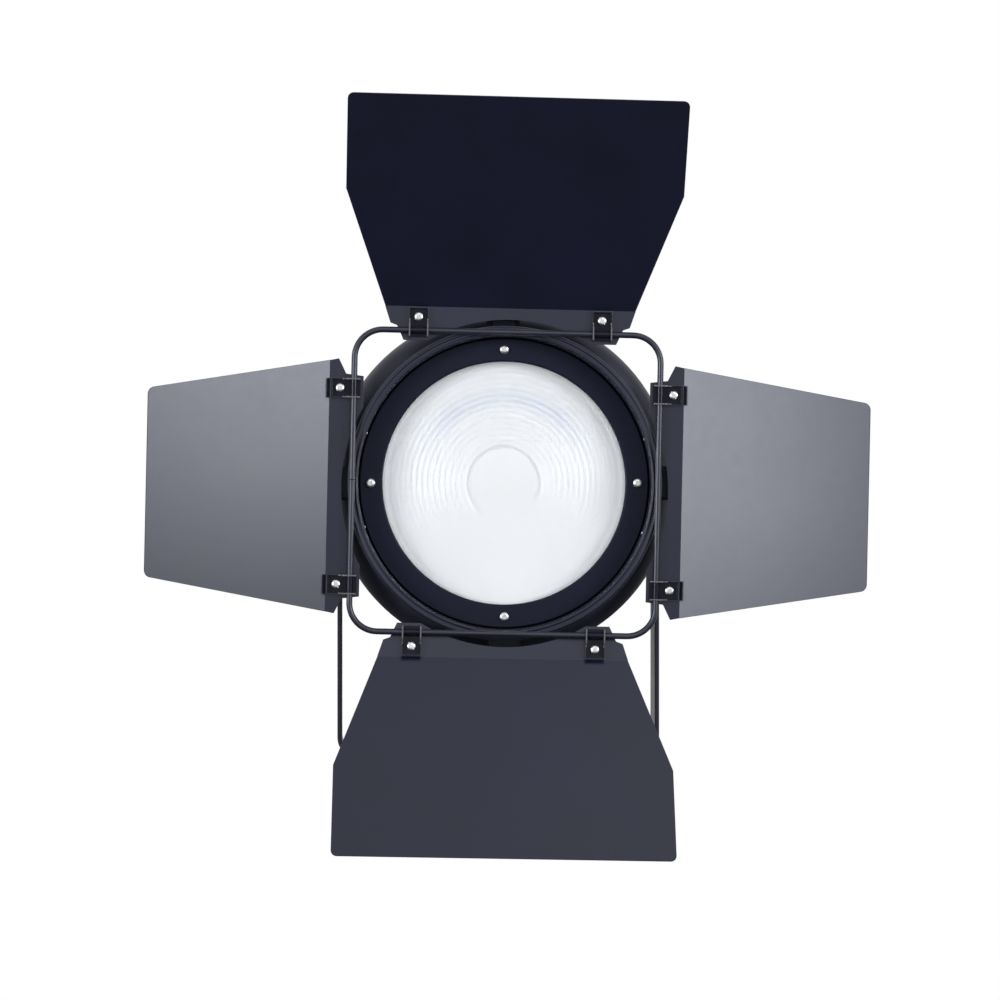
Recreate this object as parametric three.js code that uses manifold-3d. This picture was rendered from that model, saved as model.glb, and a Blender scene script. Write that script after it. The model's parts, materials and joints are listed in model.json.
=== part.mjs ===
// A focusing stage light: a stepped lens behind a clear filter glass, in a finned round housing
// that tilts in a flat yoke, with a four-leaf barn door that turns in ears on the front.
// Millimetres, +Z up, beam towards -Y. The origin is the centre of the mouth of the stand socket.
import * as THREE from "three";
import { mergeVertices } from "three/addons/utils/BufferGeometryUtils.js";
import Module from "manifold-3d";

const wasm = await Module();
wasm.setup();

// Gaps, overruns and facet counts
const seatGap = 0.3; // between two pieces that rest on each other
const runningGap = 0.3; // round a pin, rod or stud that turns
const cutOverrun = 6; // how far a cutter runs past the face that it opens
const weldDistance = 0.001;
const beamSides = 40; // facets round the beam axis
const barSides = 12; // facets round bolts, pins and rods
const screwSides = 8; // facets round small screws and their holes
const rodSides = 10;
const arcSteps = 2; // segments in a rounded corner
const hexSides = 6;
const waveSteps = 6; // points on each lobe of a lobed outline
const ribSteps = 3; // points on each rib of a ribbed outline

// Stand socket
const socketBoreRadius = 8.1; // takes a 16 mm stand pin
const socketRadius = 17;
const socketHeight = 50;
const socketRoof = 8; // metal above the bore, which the yoke bolt screws into
const socketBoltRadius = 5;
const boltHeadRadius = 8.5;
const boltHeadHeight = 6.5;
const clampScrewRadius = 4;
const clampScrewHeight = 25;
const clampBossRadius = 9;
const clampBossReach = 21; // from the socket's axis to the end of the boss
const clampBarReach = 34; // from the socket's axis to the cross bar of the screw
const clampBarRadius = 4.5;
const clampBarHalf = 22;

// Yoke
const strapThickness = 4;
const strapWidth = 40;
const yokeDrop = 232; // from the tilt axis down to the inside of the cross bar
const yokeBend = 14; // inside radius of its two bends

// Tilt pivot
const pivotStudRadius = 5;
const pivotPlateThickness = 8.1;
const pivotPlateHalf = 30;
const pivotPlateCorner = 8;
const pivotWasherRadius = 16;
const pivotWasherThickness = 2.5;
const lockFlangeRadius = 14;
const lockFlangeThickness = 3.5;
const lockKnobRadius = 26;
const lockKnobLength = 22;
const lockKnobLobes = 6;
const lockLobeDepth = 4;

// Housing barrel
const barrelStep = 7.2; // from the bezel's collar out to the barrel's skin, under the fins
const barrelWall = 3;
const finHeight = 5;
const finThickness = 2.2;
const finCount = 40;
const barrelFrontY = -77.7;
const barrelRearY = 119.7;
const barrelFlatCut = 0.4; // how deep the flats for the pivot plates go into the skin

// Front bezel, from its back wall forward
const bezelOverhang = 12.5; // how far the bezel stands out past the fins
const bezelWall = 3;
const bezelRimDepth = 14;
const bezelDomeDepth = 21.7;
const shoulderWidth = 10.2; // flat step round the collar
const collarWall = 3.3;
const collarDepth = 13.1;
const collarFaceThickness = 6.8;
const bezelDomeSteps = 4;
const earBossHalf = 14;
const earBossDepth = 12.5; // from the shoulder's edge to the outer end of an ear's boss

// Filter glass, its ring and the ring's screws
const beamRadius = 100; // clear opening of the filter ring
const glassLap = 4.5; // how far the glass reaches out behind its ring
const collarLand = 14.3; // from the glass's edge to the outside of the collar
const glassThickness = 3;
const glassSeat = 4; // how far the seat reaches in under the glass
const filterRingThickness = 3;
const filterScrewInset = 8.5; // from the ring's outer edge
const filterScrewRadius = 1.9;
const filterScrewHeadRadius = 4;
const filterScrewHeadHeight = 2.2;
const filterScrewLength = 8.5;
const filterScrewCount = 4;
const filterScrewSlotDeg = 45; // each screw's slot, from the spoke that it stands on
const screwSlotWidth = 0.9;
const screwSlotDepth = 0.9;
const panCrownShare = 0.6; // flat top of a pan head, of its radius

// Stepped lens and the ring that holds it
const lensLap = 3.5; // how far the lens reaches out past the clear opening
const lensThickness = 10;
const lensRingLip = 7;
const lensRingLipThickness = 3;
const lensSteps = 4;
const lensStepRise = 3.4;
const lensStepStartShare = 0.3; // radius of the plain middle, of the lens radius
const lensCrownRise = 2.6;
const lensCrownSteps = 2;

// Accessory ears, and the sprung latch that is the top one
const earCount = 4; // the latch takes the top one's place
const earHalf = 12;
const earFootThickness = 3.5;
const earLipThickness = 2.5;
const earLipGap = 1.5; // between the lip and the barn door's neck
const earLipDepth = 10.5;
const earClearance = 1; // between the ear's foot and the barn door's flange
const earRivetRadius = 2.6;
const earRivetHeight = 1.2;
const latchHalf = 9;
const latchPinRadius = 1.6;
const latchBarrelRadius = 3.4;
const latchPinRise = 8.5; // from the barn door's ring out to the latch's pin
const latchPinStandoff = 4.6; // from the boss to the pin's axis
const latchCheekThickness = 2;
const latchTabLength = 13;
const latchTabThickness = 2;

// Barn door: its ring
const doorRingPlay = 1.2; // between the collar and the ring's bore
const doorRingWidth = 8.5;
const doorRingWall = 4; // at the neck
const doorRingDepth = 33.2;
const doorRingBead = 8.2; // depth of the front bead
const doorRingFlange = 3.2; // thickness of the rear flange
const doorRingRound = 1.2;
const doorTurnDeg = 1.25; // the barn door sits turned a little in its ears

// Barn door: the bent rod that the leaves hinge on
const rodRadius = 2.5;
const frameInsetSide = 3.5; // from the ring's outside in to the rod's axis
const frameInsetTop = 5.5;
const frameBend = 23;
const frameBendSteps = 5;
const frameJointGap = 0.8; // the butt joint halfway up the left rod

// Barn door leaves
const leafSheet = 1.2;
const leafFlange = 8; // how far the sheet reaches inward past the rod
const leafFoldAt = 19.5; // from the rod to the fold
const leafFoldDeg = 25;
const leafFoldRadius = 1; // inside the fold
const leafFoldSteps = 3;
const leafRingGap = 5; // between the ring and the sheet's cut edge
const longLeaf = {
  foldHalf: 102.5,
  farHalf: 136,
  panelLength: 180,
  slant: 100, // from the fold to where the edges turn straight outward
  stripTaper: 4.5,
  taperDepth: 13.5,
  chamferInset: 10,
  chamferDepth: 15.5,
  flangeInset: 15.5,
  clipInset: 27.5,
};
const sideLeaf = {
  foldHalf: 102.5,
  farHalf: 74.5,
  panelLength: 160,
  slant: 0, // its edges run straight to the far corners
  stripTaper: -1.5,
  taperDepth: 7.1,
  chamferInset: 10.8,
  chamferDepth: 13.2,
  flangeInset: 12.5,
  clipInset: 22.5,
};
const leafCorner = 5;
const leafRestDeg = { top: 0, right: 3, bottom: 8, left: 3 };
const leafSlide = { top: 1.5, right: 5.2, bottom: -1.2, left: -5.2 }; // the side ones have slid down

// Hinge clips and their screws
const clipHalf = 8;
const clipSheet = 1.2;
const clipInner = 5.5; // from the rod to the clip's inner end
const clipOuter = 18.9; // from the rod to its outer end
const clipRodGap = 0.5; // between the rod and the clip's floor
const clipWallFront = 4; // how far the walls stand in front of the rod's axis
const clipLowWall = 3; // height of the walls and end at the screw
const clipScrewAt = 11.2; // from the rod
const clipScrewRadius = 1.9;
const clipScrewHeadRadius = 3.9;
const clipScrewHeadHeight = 2.2;
const clipNutRadius = 3.8;
const clipNutHeight = 2.6;
const clipScrewSlotDeg = 36; // each screw's slot, from the rod's direction

// Rear cover, its handle, switch and slots
const coverWall = 3;
const coverDepth = 30;
const coverRimDepth = 12;
const coverRoundWidth = 33; // from the flat's edge to the rim
const coverBendSteps = 3;
const coverSlotCount = 6; // on each side of the handle
const coverSlotWidth = 4;
const coverSlotPitch = 9;
const coverSlotStart = 24; // from the middle to the first slot
const coverSlotHalf = 36;
const coverSlotMiddle = 26; // height of the slots' middle over the beam axis
const coverSlotFallShare = 0.55; // how far out along a circle's quarter the last slot stands
const handleRadius = 7;
const handleReach = 40;
const handleTop = 74;
const handleBottom = -24;
const handleBend = 16;
const handleBendSteps = 3;
const handleFootRadius = 13;
const handleFootThickness = 4;
const switchX = 46;
const switchZ = -62;
const switchHalfWidth = 13;
const switchHalfHeight = 8;
const switchRockDeg = 8;
const switchDepth = 9;
const switchProud = 2.2;
const switchRunningGap = 0.6; // over and under the rocker

// Base housing under the barrel, and the supply inlet in its rear wall
const baseHalfWidth = 60;
const baseDrop = 34; // from under the fins to the base's floor
const baseFrontY = -60;
const baseRearY = 110;
const baseWall = 2.5;
const baseCorner = 9;
const barrelSlotHalf = 52; // opening in the barrel over the base
const bracketHalf = 50;
const bracketRise = 14; // over the focus screw's axis
const bracketThickness = 4;
const inletRadius = 13;
const inletRise = 16; // over the base's floor
const inletLength = 11;
const inletWall = 2;
const inletFlangeHalf = 15;
const inletFlangeThickness = 2;

// Top vent hood
const ventHalfWidth = 50;
const ventRise = 19; // over the fins
const ventFrontY = -58;
const ventRearY = 98;
const ventWall = 2.5;
const ventSlotCount = 9;
const ventSlotWidth = 5;
const ventSlotHalf = 34;
const barrelVentCount = 4;
const barrelVentWidth = 9;
const barrelVentPitch = 18;

// Focus drive and lamp
const screwRise = 47; // from under the fins up to the focus screw's axis
const guideRodRadius = 4;
const guideRodX = 40;
const focusScrewRadius = 5;
const focusKnobRadius = 19;
const focusKnobLength = 20;
const focusKnobRibs = 12;
const focusKnobRibDepth = 1.4;
const focusKnobBoreDepth = 10; // from the cover's face
const lampY = 10; // the lamp's place at rest
const carriageHalfWidth = 50;
const carriageHalfDepth = 20;
const carriageHalfHeight = 8;
const postHalfWidth = 10;
const postThickness = 4;
const postLap = 2; // how far the post reaches up past the mirror's lowest point
const mirrorRadius = 50;
const mirrorThickness = 1.5;
const mirrorHalfAngleDeg = 62;
const mirrorSteps = 5;
const lampSocketHalf = 17;
const lampSocketHeight = 14;
const lampBaseRadius = 11;
const lampBaseHeight = 17;
const lampStemRadius = 6;
const lampBulbRadius = 13;
const lampBulbHalf = 19;
const lampTipRadius = 5;
const lampTipLength = 16;
const lampBulbSteps = 6;
const lampSides = 16;

// Places that follow from the sizes above
const glassRadius = beamRadius + glassLap;
const lensRadius = beamRadius + lensLap;
const collarRadius = glassRadius + collarLand;
const filterRingRadius = collarRadius - seatGap;
const filterScrewPitch = filterRingRadius - filterScrewInset;
const shoulderRadius = collarRadius + shoulderWidth;
const earBossReach = shoulderRadius + earBossDepth;
const barrelRadius = collarRadius + barrelStep;
const barrelOuter = barrelRadius + finHeight;
const bezelRadius = barrelOuter + bezelOverhang;
const bezelDomeWidth = bezelRadius - shoulderRadius;
const doorRingBore = collarRadius + doorRingPlay;
const doorRingRadius = doorRingBore + doorRingWidth;
const doorRingNeck = doorRingBore + doorRingWall;
const earLipReach = doorRingNeck + earLipGap;
const latchPinReach = doorRingRadius + latchPinRise;
const frameHalfWidth = doorRingRadius - frameInsetSide;
const frameHalfHeight = doorRingRadius - frameInsetTop;
const leafRingCut = doorRingRadius + leafRingGap;
const coverFlatRadius = barrelOuter - coverRoundWidth;
const baseBottom = -barrelOuter - baseDrop;
const screwZ = -barrelOuter + screwRise;
const bracketTop = screwZ + bracketRise;
const inletZ = baseBottom + inletRise;
const ventTop = barrelOuter + ventRise;
const postTop = postLap - mirrorRadius;
const plateInnerX = barrelRadius - barrelFlatCut + seatGap;
const plateOuterX = plateInnerX + pivotPlateThickness;
const legInnerX = plateOuterX + seatGap;
const legOuterX = legInnerX + strapThickness;
const barBottomZ = socketHeight + seatGap;
const barTopZ = barBottomZ + strapThickness;
const axisHeight = barTopZ + yokeDrop;
const bezelBackY = barrelFrontY - seatGap;
const bezelDomeY = bezelBackY - bezelRimDepth;
const shoulderY = bezelDomeY - bezelDomeDepth;
const collarFrontY = shoulderY - collarDepth;
const collarFaceBackY = collarFrontY + collarFaceThickness;
const glassFrontY = collarFrontY;
const glassSeatY = glassFrontY + glassThickness + seatGap;
const filterRingBackY = collarFrontY - seatGap;
const filterRingFrontY = filterRingBackY - filterRingThickness;
const lensFrontY = collarFaceBackY + seatGap;
const lensBackY = lensFrontY + lensThickness;
const doorRingBackY = shoulderY - seatGap;
const doorRingFrontY = doorRingBackY - doorRingDepth;
const rodY = doorRingFrontY - seatGap - rodRadius;
const clipFloorFront = rodRadius + clipRodGap;
const leafFront = clipFloorFront + clipSheet + seatGap;
const coverFrontY = barrelRearY + seatGap;
const coverBackY = coverFrontY + coverDepth;
const rodSeatFrontY = baseFrontY + bracketThickness / 3; // blind ends of the guide rods' holes
const rodSeatRearY = baseRearY - bracketThickness / 3;
const focusScrewEndY = coverBackY + focusKnobBoreDepth;

// The four leaves, with the turn of each about the beam and the rod that it hinges on
const leafSides = [
  { side: "top", turnDeg: 0, reach: frameHalfHeight, form: longLeaf },
  { side: "right", turnDeg: 90, reach: frameHalfWidth, form: sideLeaf },
  { side: "bottom", turnDeg: 180, reach: frameHalfHeight, form: longLeaf },
  { side: "left", turnDeg: 270, reach: frameHalfWidth, form: sideLeaf },
];

// Finishes
const finish = (color, roughness, metalness) => ({ color, roughness, metalness });
const finishes = {
  satinBlack: finish(0x3a3a42, 0.45, 0.3),
  leafPaint: finish(0x4a4b58, 0.5, 0.25),
  flatBlack: finish(0x1d1d22, 0.8, 0.1),
  rodPaint: finish(0x55555f, 0.35, 0.5),
  yokePaint: finish(0x2a2a2f, 0.5, 0.3),
  bareSteel: finish(0xb4b6bb, 0.3, 0.9),
  blackSteel: finish(0x26262b, 0.4, 0.6),
  aluminium: finish(0xa4a7ad, 0.4, 0.8),
  clearGlass: finish(0xf2f6fa, 0.05, 0),
  frostedGlass: finish(0xf6f8fb, 0.35, 0),
  mirror: finish(0xe2e4e8, 0.08, 1),
  ceramic: finish(0xe8e2d6, 0.6, 0),
  blackPlastic: finish(0x17171a, 0.55, 0),
};

// A closed body from a three.js geometry, its faces turned outward.
function solid(geometry) {
  const bare = new THREE.BufferGeometry();
  bare.setAttribute("position", geometry.getAttribute("position"));
  if (geometry.index) bare.setIndex(geometry.index);
  const merged = mergeVertices(bare, weldDistance);
  const corners = merged.index.array;
  const build = (inverted) => {
    const triVerts = [];
    for (let i = 0; i < corners.length; i += 3) {
      const [a, b, c] = corners.slice(i, i + 3);
      if (a === b || b === c || c === a) continue;
      triVerts.push(a, inverted ? c : b, inverted ? b : c);
    }
    const vertProperties = merged.attributes.position.array;
    return new wasm.Manifold(
      new wasm.Mesh({ numProp: 3, vertProperties, triVerts: new Uint32Array(triVerts) }),
    );
  };
  const made = build(false);
  return made.volume() < 0 ? build(true) : made;
}

const join = (first, ...others) => others.reduce((sum, next) => sum.add(next), first);
const cut = (first, ...tools) => tools.reduce((rest, tool) => rest.subtract(tool), first);

// A box between two corners.
function block([xLow, xHigh], [yLow, yHigh], [zLow, zHigh]) {
  const box = new THREE.BoxGeometry(xHigh - xLow, yHigh - yLow, zHigh - zLow);
  return box.translate((xLow + xHigh) / 2, (yLow + yHigh) / 2, (zLow + zHigh) / 2);
}

// Turns a geometry whose length runs along Y so that it runs along another axis.
function along(geometry, axis) {
  if (axis === "X") geometry.rotateZ(-Math.PI / 2);
  if (axis === "Z") geometry.rotateX(Math.PI / 2);
  return geometry;
}

// A round bar from low to high along an axis, through the point at.
function bar(axis, radius, low, high, at = [0, 0, 0], sides = barSides) {
  const geometry = new THREE.CylinderGeometry(radius, radius, high - low, sides);
  return along(geometry.translate(0, (low + high) / 2, 0), axis).translate(...at);
}

// A turned body: its profile is a list of [radius, place along the axis].
function turned(profile, axis = "Y", at = [0, 0, 0], sides = beamSides) {
  const points = profile.map(([radius, place]) => new THREE.Vector2(radius, place));
  return along(new THREE.LatheGeometry(points, sides), axis).translate(...at);
}

// A turned ring, whose profile closes on itself.
const turnedRing = (profile, sides = beamSides) =>
  turned([...profile, profile[0]], "Y", [0, 0, 0], sides);

// The points of an outline, with an arc at each corner that has a radius: [x, y, radius].
function rounded(corners) {
  return corners.flatMap(([x, y, radius], i) => {
    const here = new THREE.Vector2(x, y);
    if (!radius) return [here];
    const from = new THREE.Vector2(...corners.at(i - 1)).sub(here).normalize();
    const to = new THREE.Vector2(...corners[(i + 1) % corners.length]).sub(here).normalize();
    const half = Math.acos(from.dot(to)) / 2;
    const centre = from.clone().add(to).setLength(radius / Math.sin(half)).add(here);
    const start = from.clone().multiplyScalar(radius / Math.tan(half)).add(here).sub(centre);
    const end = to.clone().multiplyScalar(radius / Math.tan(half)).add(here).sub(centre);
    const sweep = Math.atan2(start.cross(end), start.dot(end));
    return Array.from({ length: arcSteps + 1 }, (_, step) =>
      start.clone().rotateAround(new THREE.Vector2(), (sweep * step) / arcSteps).add(centre),
    );
  });
}

// A plate: an outline with its thickness between low and high on the third axis.
const planes = {
  XZ: [new THREE.Vector3(1, 0, 0), new THREE.Vector3(0, 0, 1), new THREE.Vector3(0, -1, 0)],
  YZ: [new THREE.Vector3(0, 1, 0), new THREE.Vector3(0, 0, 1), new THREE.Vector3(1, 0, 0)],
};
function plate(plane, corners, low, high, holes = []) {
  const shape = new THREE.Shape(rounded(corners));
  shape.holes = holes.map((hole) => new THREE.Path(rounded(hole)));
  const geometry = new THREE.ExtrudeGeometry(shape, { depth: high - low, bevelEnabled: false });
  const start = plane === "XZ" ? -high : low;
  return geometry
    .translate(0, 0, start)
    .applyMatrix4(new THREE.Matrix4().makeBasis(...planes[plane]));
}

// The corners of a shape that is alike on both sides of X = 0, from those on its positive side.
const mirrored = (corners) => [
  ...corners,
  ...[...corners].reverse().map(([x, ...rest]) => [-x, ...rest]),
];

// A rectangle's corners, with a corner radius.
const rectangle = (halfWidth, low, high, radius = 0) =>
  mirrored([
    [halfWidth, low, radius],
    [halfWidth, high, radius],
  ]);

// A regular outline of lobes or ribs: steps points round a circle, some drawn in.
function wavyOutline(radius, depth, count, stepsEach) {
  return Array.from({ length: count * stepsEach }, (_, i) => {
    const wave = (1 + Math.cos((2 * Math.PI * i) / stepsEach)) / 2;
    const angle = (2 * Math.PI * i) / (count * stepsEach);
    const reach = radius - depth * (1 - wave);
    return [reach * Math.cos(angle), reach * Math.sin(angle)];
  });
}

// A bent rod's route: straight lines between its points, each step one line.
class Route extends THREE.Curve {
  constructor(points) {
    super();
    this.points = points;
  }
  getPoint(t, target = new THREE.Vector3()) {
    const place = t * (this.points.length - 1);
    const i = Math.min(Math.floor(place), this.points.length - 2);
    return target.lerpVectors(this.points[i], this.points[i + 1], place - i);
  }
  getPointAt(u, target) {
    return this.getPoint(u, target);
  }
  getTangentAt(u, target = new THREE.Vector3()) {
    const i = Math.round(u * (this.points.length - 1));
    const last = this.points.length - 1;
    const line = (k) => this.points[k + 1].clone().sub(this.points[k]).normalize();
    const before = i > 0 ? line(i - 1) : line(0);
    const after = i < last ? line(i) : line(last - 1);
    return target.copy(before).add(after).normalize();
  }
}

function bentRod(points, radius) {
  const section = new THREE.Shape(
    Array.from({ length: rodSides }, (_, i) => {
      const angle = (2 * Math.PI * i) / rodSides;
      return new THREE.Vector2(radius * Math.cos(angle), radius * Math.sin(angle));
    }),
  );
  const steps = points.length - 1;
  return new THREE.ExtrudeGeometry(section, { steps, extrudePath: new Route(points) });
}

// A quarter bend's points in the plane of two unit directions, round a centre.
function bendPoints(centre, fromAxis, toAxis, radius, steps) {
  return Array.from({ length: steps + 1 }, (_, i) => {
    const angle = (Math.PI / 2) * (i / steps);
    return centre
      .clone()
      .addScaledVector(fromAxis, radius * Math.cos(angle))
      .addScaledVector(toAxis, radius * Math.sin(angle));
  });
}

// A named mesh from a body.
function piece(name, body, look) {
  const { vertProperties, triVerts } = body.getMesh();
  const geometry = new THREE.BufferGeometry();
  geometry.setAttribute("position", new THREE.BufferAttribute(vertProperties, 3));
  geometry.setIndex(new THREE.BufferAttribute(triVerts, 1));
  geometry.computeVertexNormals();
  const material = new THREE.MeshStandardMaterial({ ...finishes[look], flatShading: true });
  const mesh = new THREE.Mesh(geometry, material);
  mesh.name = name;
  return mesh;
}

const root = new THREE.Group();
const head = new THREE.Group();
head.position.z = axisHeight;
root.add(head);
const door = new THREE.Group();
door.rotation.y = THREE.MathUtils.degToRad(doorTurnDeg);
head.add(door);

// The yoke is one flat strap, bent to a U, with round ends at the pivots.
function yokeStrap() {
  const outerBend = yokeBend + strapThickness;
  const top = axisHeight + strapWidth;
  const right = [
    [legOuterX, barBottomZ, outerBend],
    [legOuterX, top],
    [legInnerX, top],
    [legInnerX, barTopZ, yokeBend],
  ];
  const strap = solid(plate("XZ", mirrored(right), -strapWidth / 2, strapWidth / 2));
  const reach = legOuterX + cutOverrun;
  const flat = solid(plate("YZ", rectangle(strapWidth / 2, 0, axisHeight), -reach, reach));
  const ends = solid(bar("X", strapWidth / 2, -reach, reach, [0, 0, axisHeight], beamSides / 2));
  const pivotHole = pivotStudRadius + runningGap;
  const boltHole = socketBoltRadius + runningGap;
  return cut(
    strap.intersect(join(flat, ends)),
    solid(bar("X", pivotHole, -reach, reach, [0, 0, axisHeight])),
    solid(bar("Z", boltHole, barBottomZ - cutOverrun, barTopZ + cutOverrun)),
  );
}

function standSocket() {
  const boreTop = socketHeight - socketRoof;
  const screwAt = [0, 0, clampScrewHeight];
  return cut(
    join(
      solid(bar("Z", socketRadius, 0, socketHeight, [0, 0, 0], barSides * 2)),
      solid(bar("Y", clampBossRadius, 0, clampBossReach, screwAt, barSides)),
    ),
    solid(bar("Z", socketBoreRadius, -cutOverrun, boreTop, [0, 0, 0], barSides * 2)),
    solid(bar("Z", socketBoltRadius + runningGap, 0, socketHeight + cutOverrun)),
    solid(bar("Y", clampScrewRadius + runningGap, 0, clampBossReach + cutOverrun, screwAt)),
  );
}

// A hexagon-headed bolt along Z, from the end of its shank to the underside of its head.
function socketBolt() {
  const under = barTopZ + seatGap;
  return join(
    solid(bar("Z", socketBoltRadius, socketHeight - socketRoof + seatGap, under + seatGap)),
    solid(bar("Z", boltHeadRadius, under, under + boltHeadHeight, [0, 0, 0], hexSides)),
  );
}

function socketClampScrew() {
  const at = [0, 0, clampScrewHeight];
  const barAt = [0, clampBarReach, clampScrewHeight];
  return join(
    solid(bar("Y", clampScrewRadius, socketBoreRadius + seatGap, clampBarReach, at)),
    solid(bar("X", clampBarRadius, -clampBarHalf, clampBarHalf, barAt)),
  );
}

root.add(
  piece("yoke_strap", yokeStrap(), "yokePaint"),
  piece("stand_socket", standSocket(), "blackSteel"),
  piece("socket_bolt", socketBolt(), "bareSteel"),
  piece("socket_clamp_screw", socketClampScrew(), "bareSteel"),
);

// A square plate on the barrel's flat; the pivot's stud screws into it. side is 1 or -1.
function pivotPlate(side) {
  const corners = rectangle(pivotPlateHalf, -pivotPlateHalf, pivotPlateHalf, pivotPlateCorner);
  const [low, high] = [side * plateInnerX, side * plateOuterX].sort((a, b) => a - b);
  return cut(
    solid(plate("YZ", corners, low, high)),
    solid(bar("X", pivotStudRadius + runningGap, low - cutOverrun, high + cutOverrun)),
  );
}

function pivotBolt() {
  const under = legOuterX + seatGap + pivotWasherThickness + seatGap;
  return join(
    solid(bar("X", pivotStudRadius, plateInnerX + seatGap, under + seatGap)),
    solid(bar("X", boltHeadRadius, under, under + boltHeadHeight, [0, 0, 0], hexSides)),
  );
}

function pivotWasher() {
  const low = legOuterX + seatGap;
  return cut(
    solid(bar("X", pivotWasherRadius, low, low + pivotWasherThickness, [0, 0, 0], barSides * 2)),
    solid(bar("X", pivotStudRadius + runningGap, low - cutOverrun, low + cutOverrun)),
  );
}

// The lock knob's stud runs through the yoke into the pivot plate.
function tiltLockKnob() {
  const flangeFace = legOuterX + seatGap;
  const knobFace = flangeFace + lockFlangeThickness;
  const lobes = wavyOutline(lockKnobRadius, lockLobeDepth, lockKnobLobes, waveSteps);
  const end = -knobFace - lockKnobLength;
  return join(
    solid(bar("X", pivotStudRadius, -flangeFace - seatGap, -plateInnerX - seatGap)),
    solid(bar("X", lockFlangeRadius, -knobFace - seatGap, -flangeFace, [0, 0, 0], barSides * 2)),
    solid(plate("YZ", lobes, end, -knobFace)),
  );
}

head.add(
  piece("pivot_plate_left", pivotPlate(-1), "blackSteel"),
  piece("pivot_plate_right", pivotPlate(1), "blackSteel"),
  piece("pivot_bolt_right", pivotBolt(), "bareSteel"),
  piece("pivot_washer_right", pivotWasher(), "blackPlastic"),
  piece("tilt_lock_knob", tiltLockKnob(), "blackPlastic"),
);

// Places round the beam axis, the first of them at the top.
const spots = (count) => Array.from({ length: count }, (_, i) => (2 * Math.PI * i) / count);

// The extruded barrel, with lengthwise fins, flats for the pivot plates, an opening over the base
// and slots under the vent hood.
function housingBarrel() {
  const half = finThickness / 2;
  const fin = [
    [-half, barrelRadius],
    [-half, barrelOuter],
    [half, barrelOuter],
    [half, barrelRadius],
  ];
  const outline = spots(finCount).flatMap((angle) =>
    fin.map(([x, z]) => [
      x * Math.cos(angle) + z * Math.sin(angle),
      z * Math.cos(angle) - x * Math.sin(angle),
    ]),
  );
  const skin = solid(plate("XZ", outline, barrelFrontY, barrelRearY));
  const inside = barrelRadius - barrelWall;
  const low = barrelFrontY - cutOverrun;
  const high = barrelRearY + cutOverrun;
  const flatX = barrelRadius - barrelFlatCut;
  const flatHalf = pivotPlateHalf + cutOverrun / 2;
  const flats = [-1, 1].map((side) =>
    solid(
      block(
        [side * flatX, side * (barrelOuter + cutOverrun)].sort((a, b) => a - b),
        [-flatHalf, flatHalf],
        [-flatHalf, flatHalf],
      ),
    ),
  );
  const slotHigh = bracketTop - finHeight;
  const baseSlot = solid(
    block(
      [-barrelSlotHalf, barrelSlotHalf],
      [baseFrontY - seatGap, baseRearY + seatGap],
      [-barrelOuter - cutOverrun, slotHigh],
    ),
  );
  const vents = Array.from({ length: barrelVentCount }, (_, i) => {
    const x = (i - (barrelVentCount - 1) / 2) * barrelVentPitch;
    return solid(
      block(
        [x - barrelVentWidth / 2, x + barrelVentWidth / 2],
        [ventFrontY + barrelVentPitch, ventRearY - barrelVentPitch],
        [0, barrelOuter + cutOverrun],
      ),
    );
  });
  const bore = solid(bar("Y", inside, low, high, [0, 0, 0], beamSides));
  return cut(skin, bore, baseSlot, ...flats, ...vents);
}

// The cast bezel: a domed cap with a collar that carries the glass and guides the barn door.
function frontBezel() {
  const domeArc = (width, depth, steps) =>
    Array.from({ length: steps + 1 }, (_, i) => {
      const angle = (Math.PI / 2) * (i / steps);
      return [shoulderRadius + width * Math.sin(angle), bezelDomeY - depth * Math.cos(angle)];
    });
  const innerDome = domeArc(
    bezelDomeWidth - bezelWall,
    bezelDomeDepth - bezelWall,
    bezelDomeSteps / 2,
  );
  const throat = barrelRadius - barrelWall / 2;
  const pocket = glassRadius + seatGap;
  const shell = turnedRing([
    [collarRadius, collarFrontY],
    [collarRadius, shoulderY],
    ...domeArc(bezelDomeWidth, bezelDomeDepth, bezelDomeSteps),
    [bezelRadius, bezelBackY],
    [throat, bezelBackY],
    [throat, bezelBackY - bezelWall],
    [bezelRadius - bezelWall, bezelBackY - bezelWall],
    ...innerDome.reverse(),
    [collarRadius - collarWall, shoulderY + bezelWall],
    [collarRadius - collarWall, collarFaceBackY],
    [pocket - glassSeat, collarFaceBackY],
    [pocket - glassSeat, glassSeatY],
    [pocket, glassSeatY],
    [pocket, collarFrontY],
  ]);
  const bosses = spots(earCount).map((angle) =>
    solid(
      block(
        [-earBossHalf, earBossHalf],
        [shoulderY, bezelDomeY - bezelWall],
        [shoulderRadius - bezelWall, earBossReach],
      ).rotateY(angle),
    ),
  );
  const holes = spots(filterScrewCount).map((angle) =>
    solid(
      bar(
        "Y",
        filterScrewRadius + seatGap,
        collarFrontY - cutOverrun,
        collarFaceBackY + cutOverrun,
        [0, 0, filterScrewPitch],
        screwSides,
      ).rotateY(angle),
    ),
  );
  return cut(join(solid(shell), ...bosses), ...holes);
}

function filterGlass() {
  return solid(
    turned([
      [0, glassFrontY],
      [glassRadius, glassFrontY],
      [glassRadius, glassFrontY + glassThickness],
      [0, glassFrontY + glassThickness],
    ]),
  );
}

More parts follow.
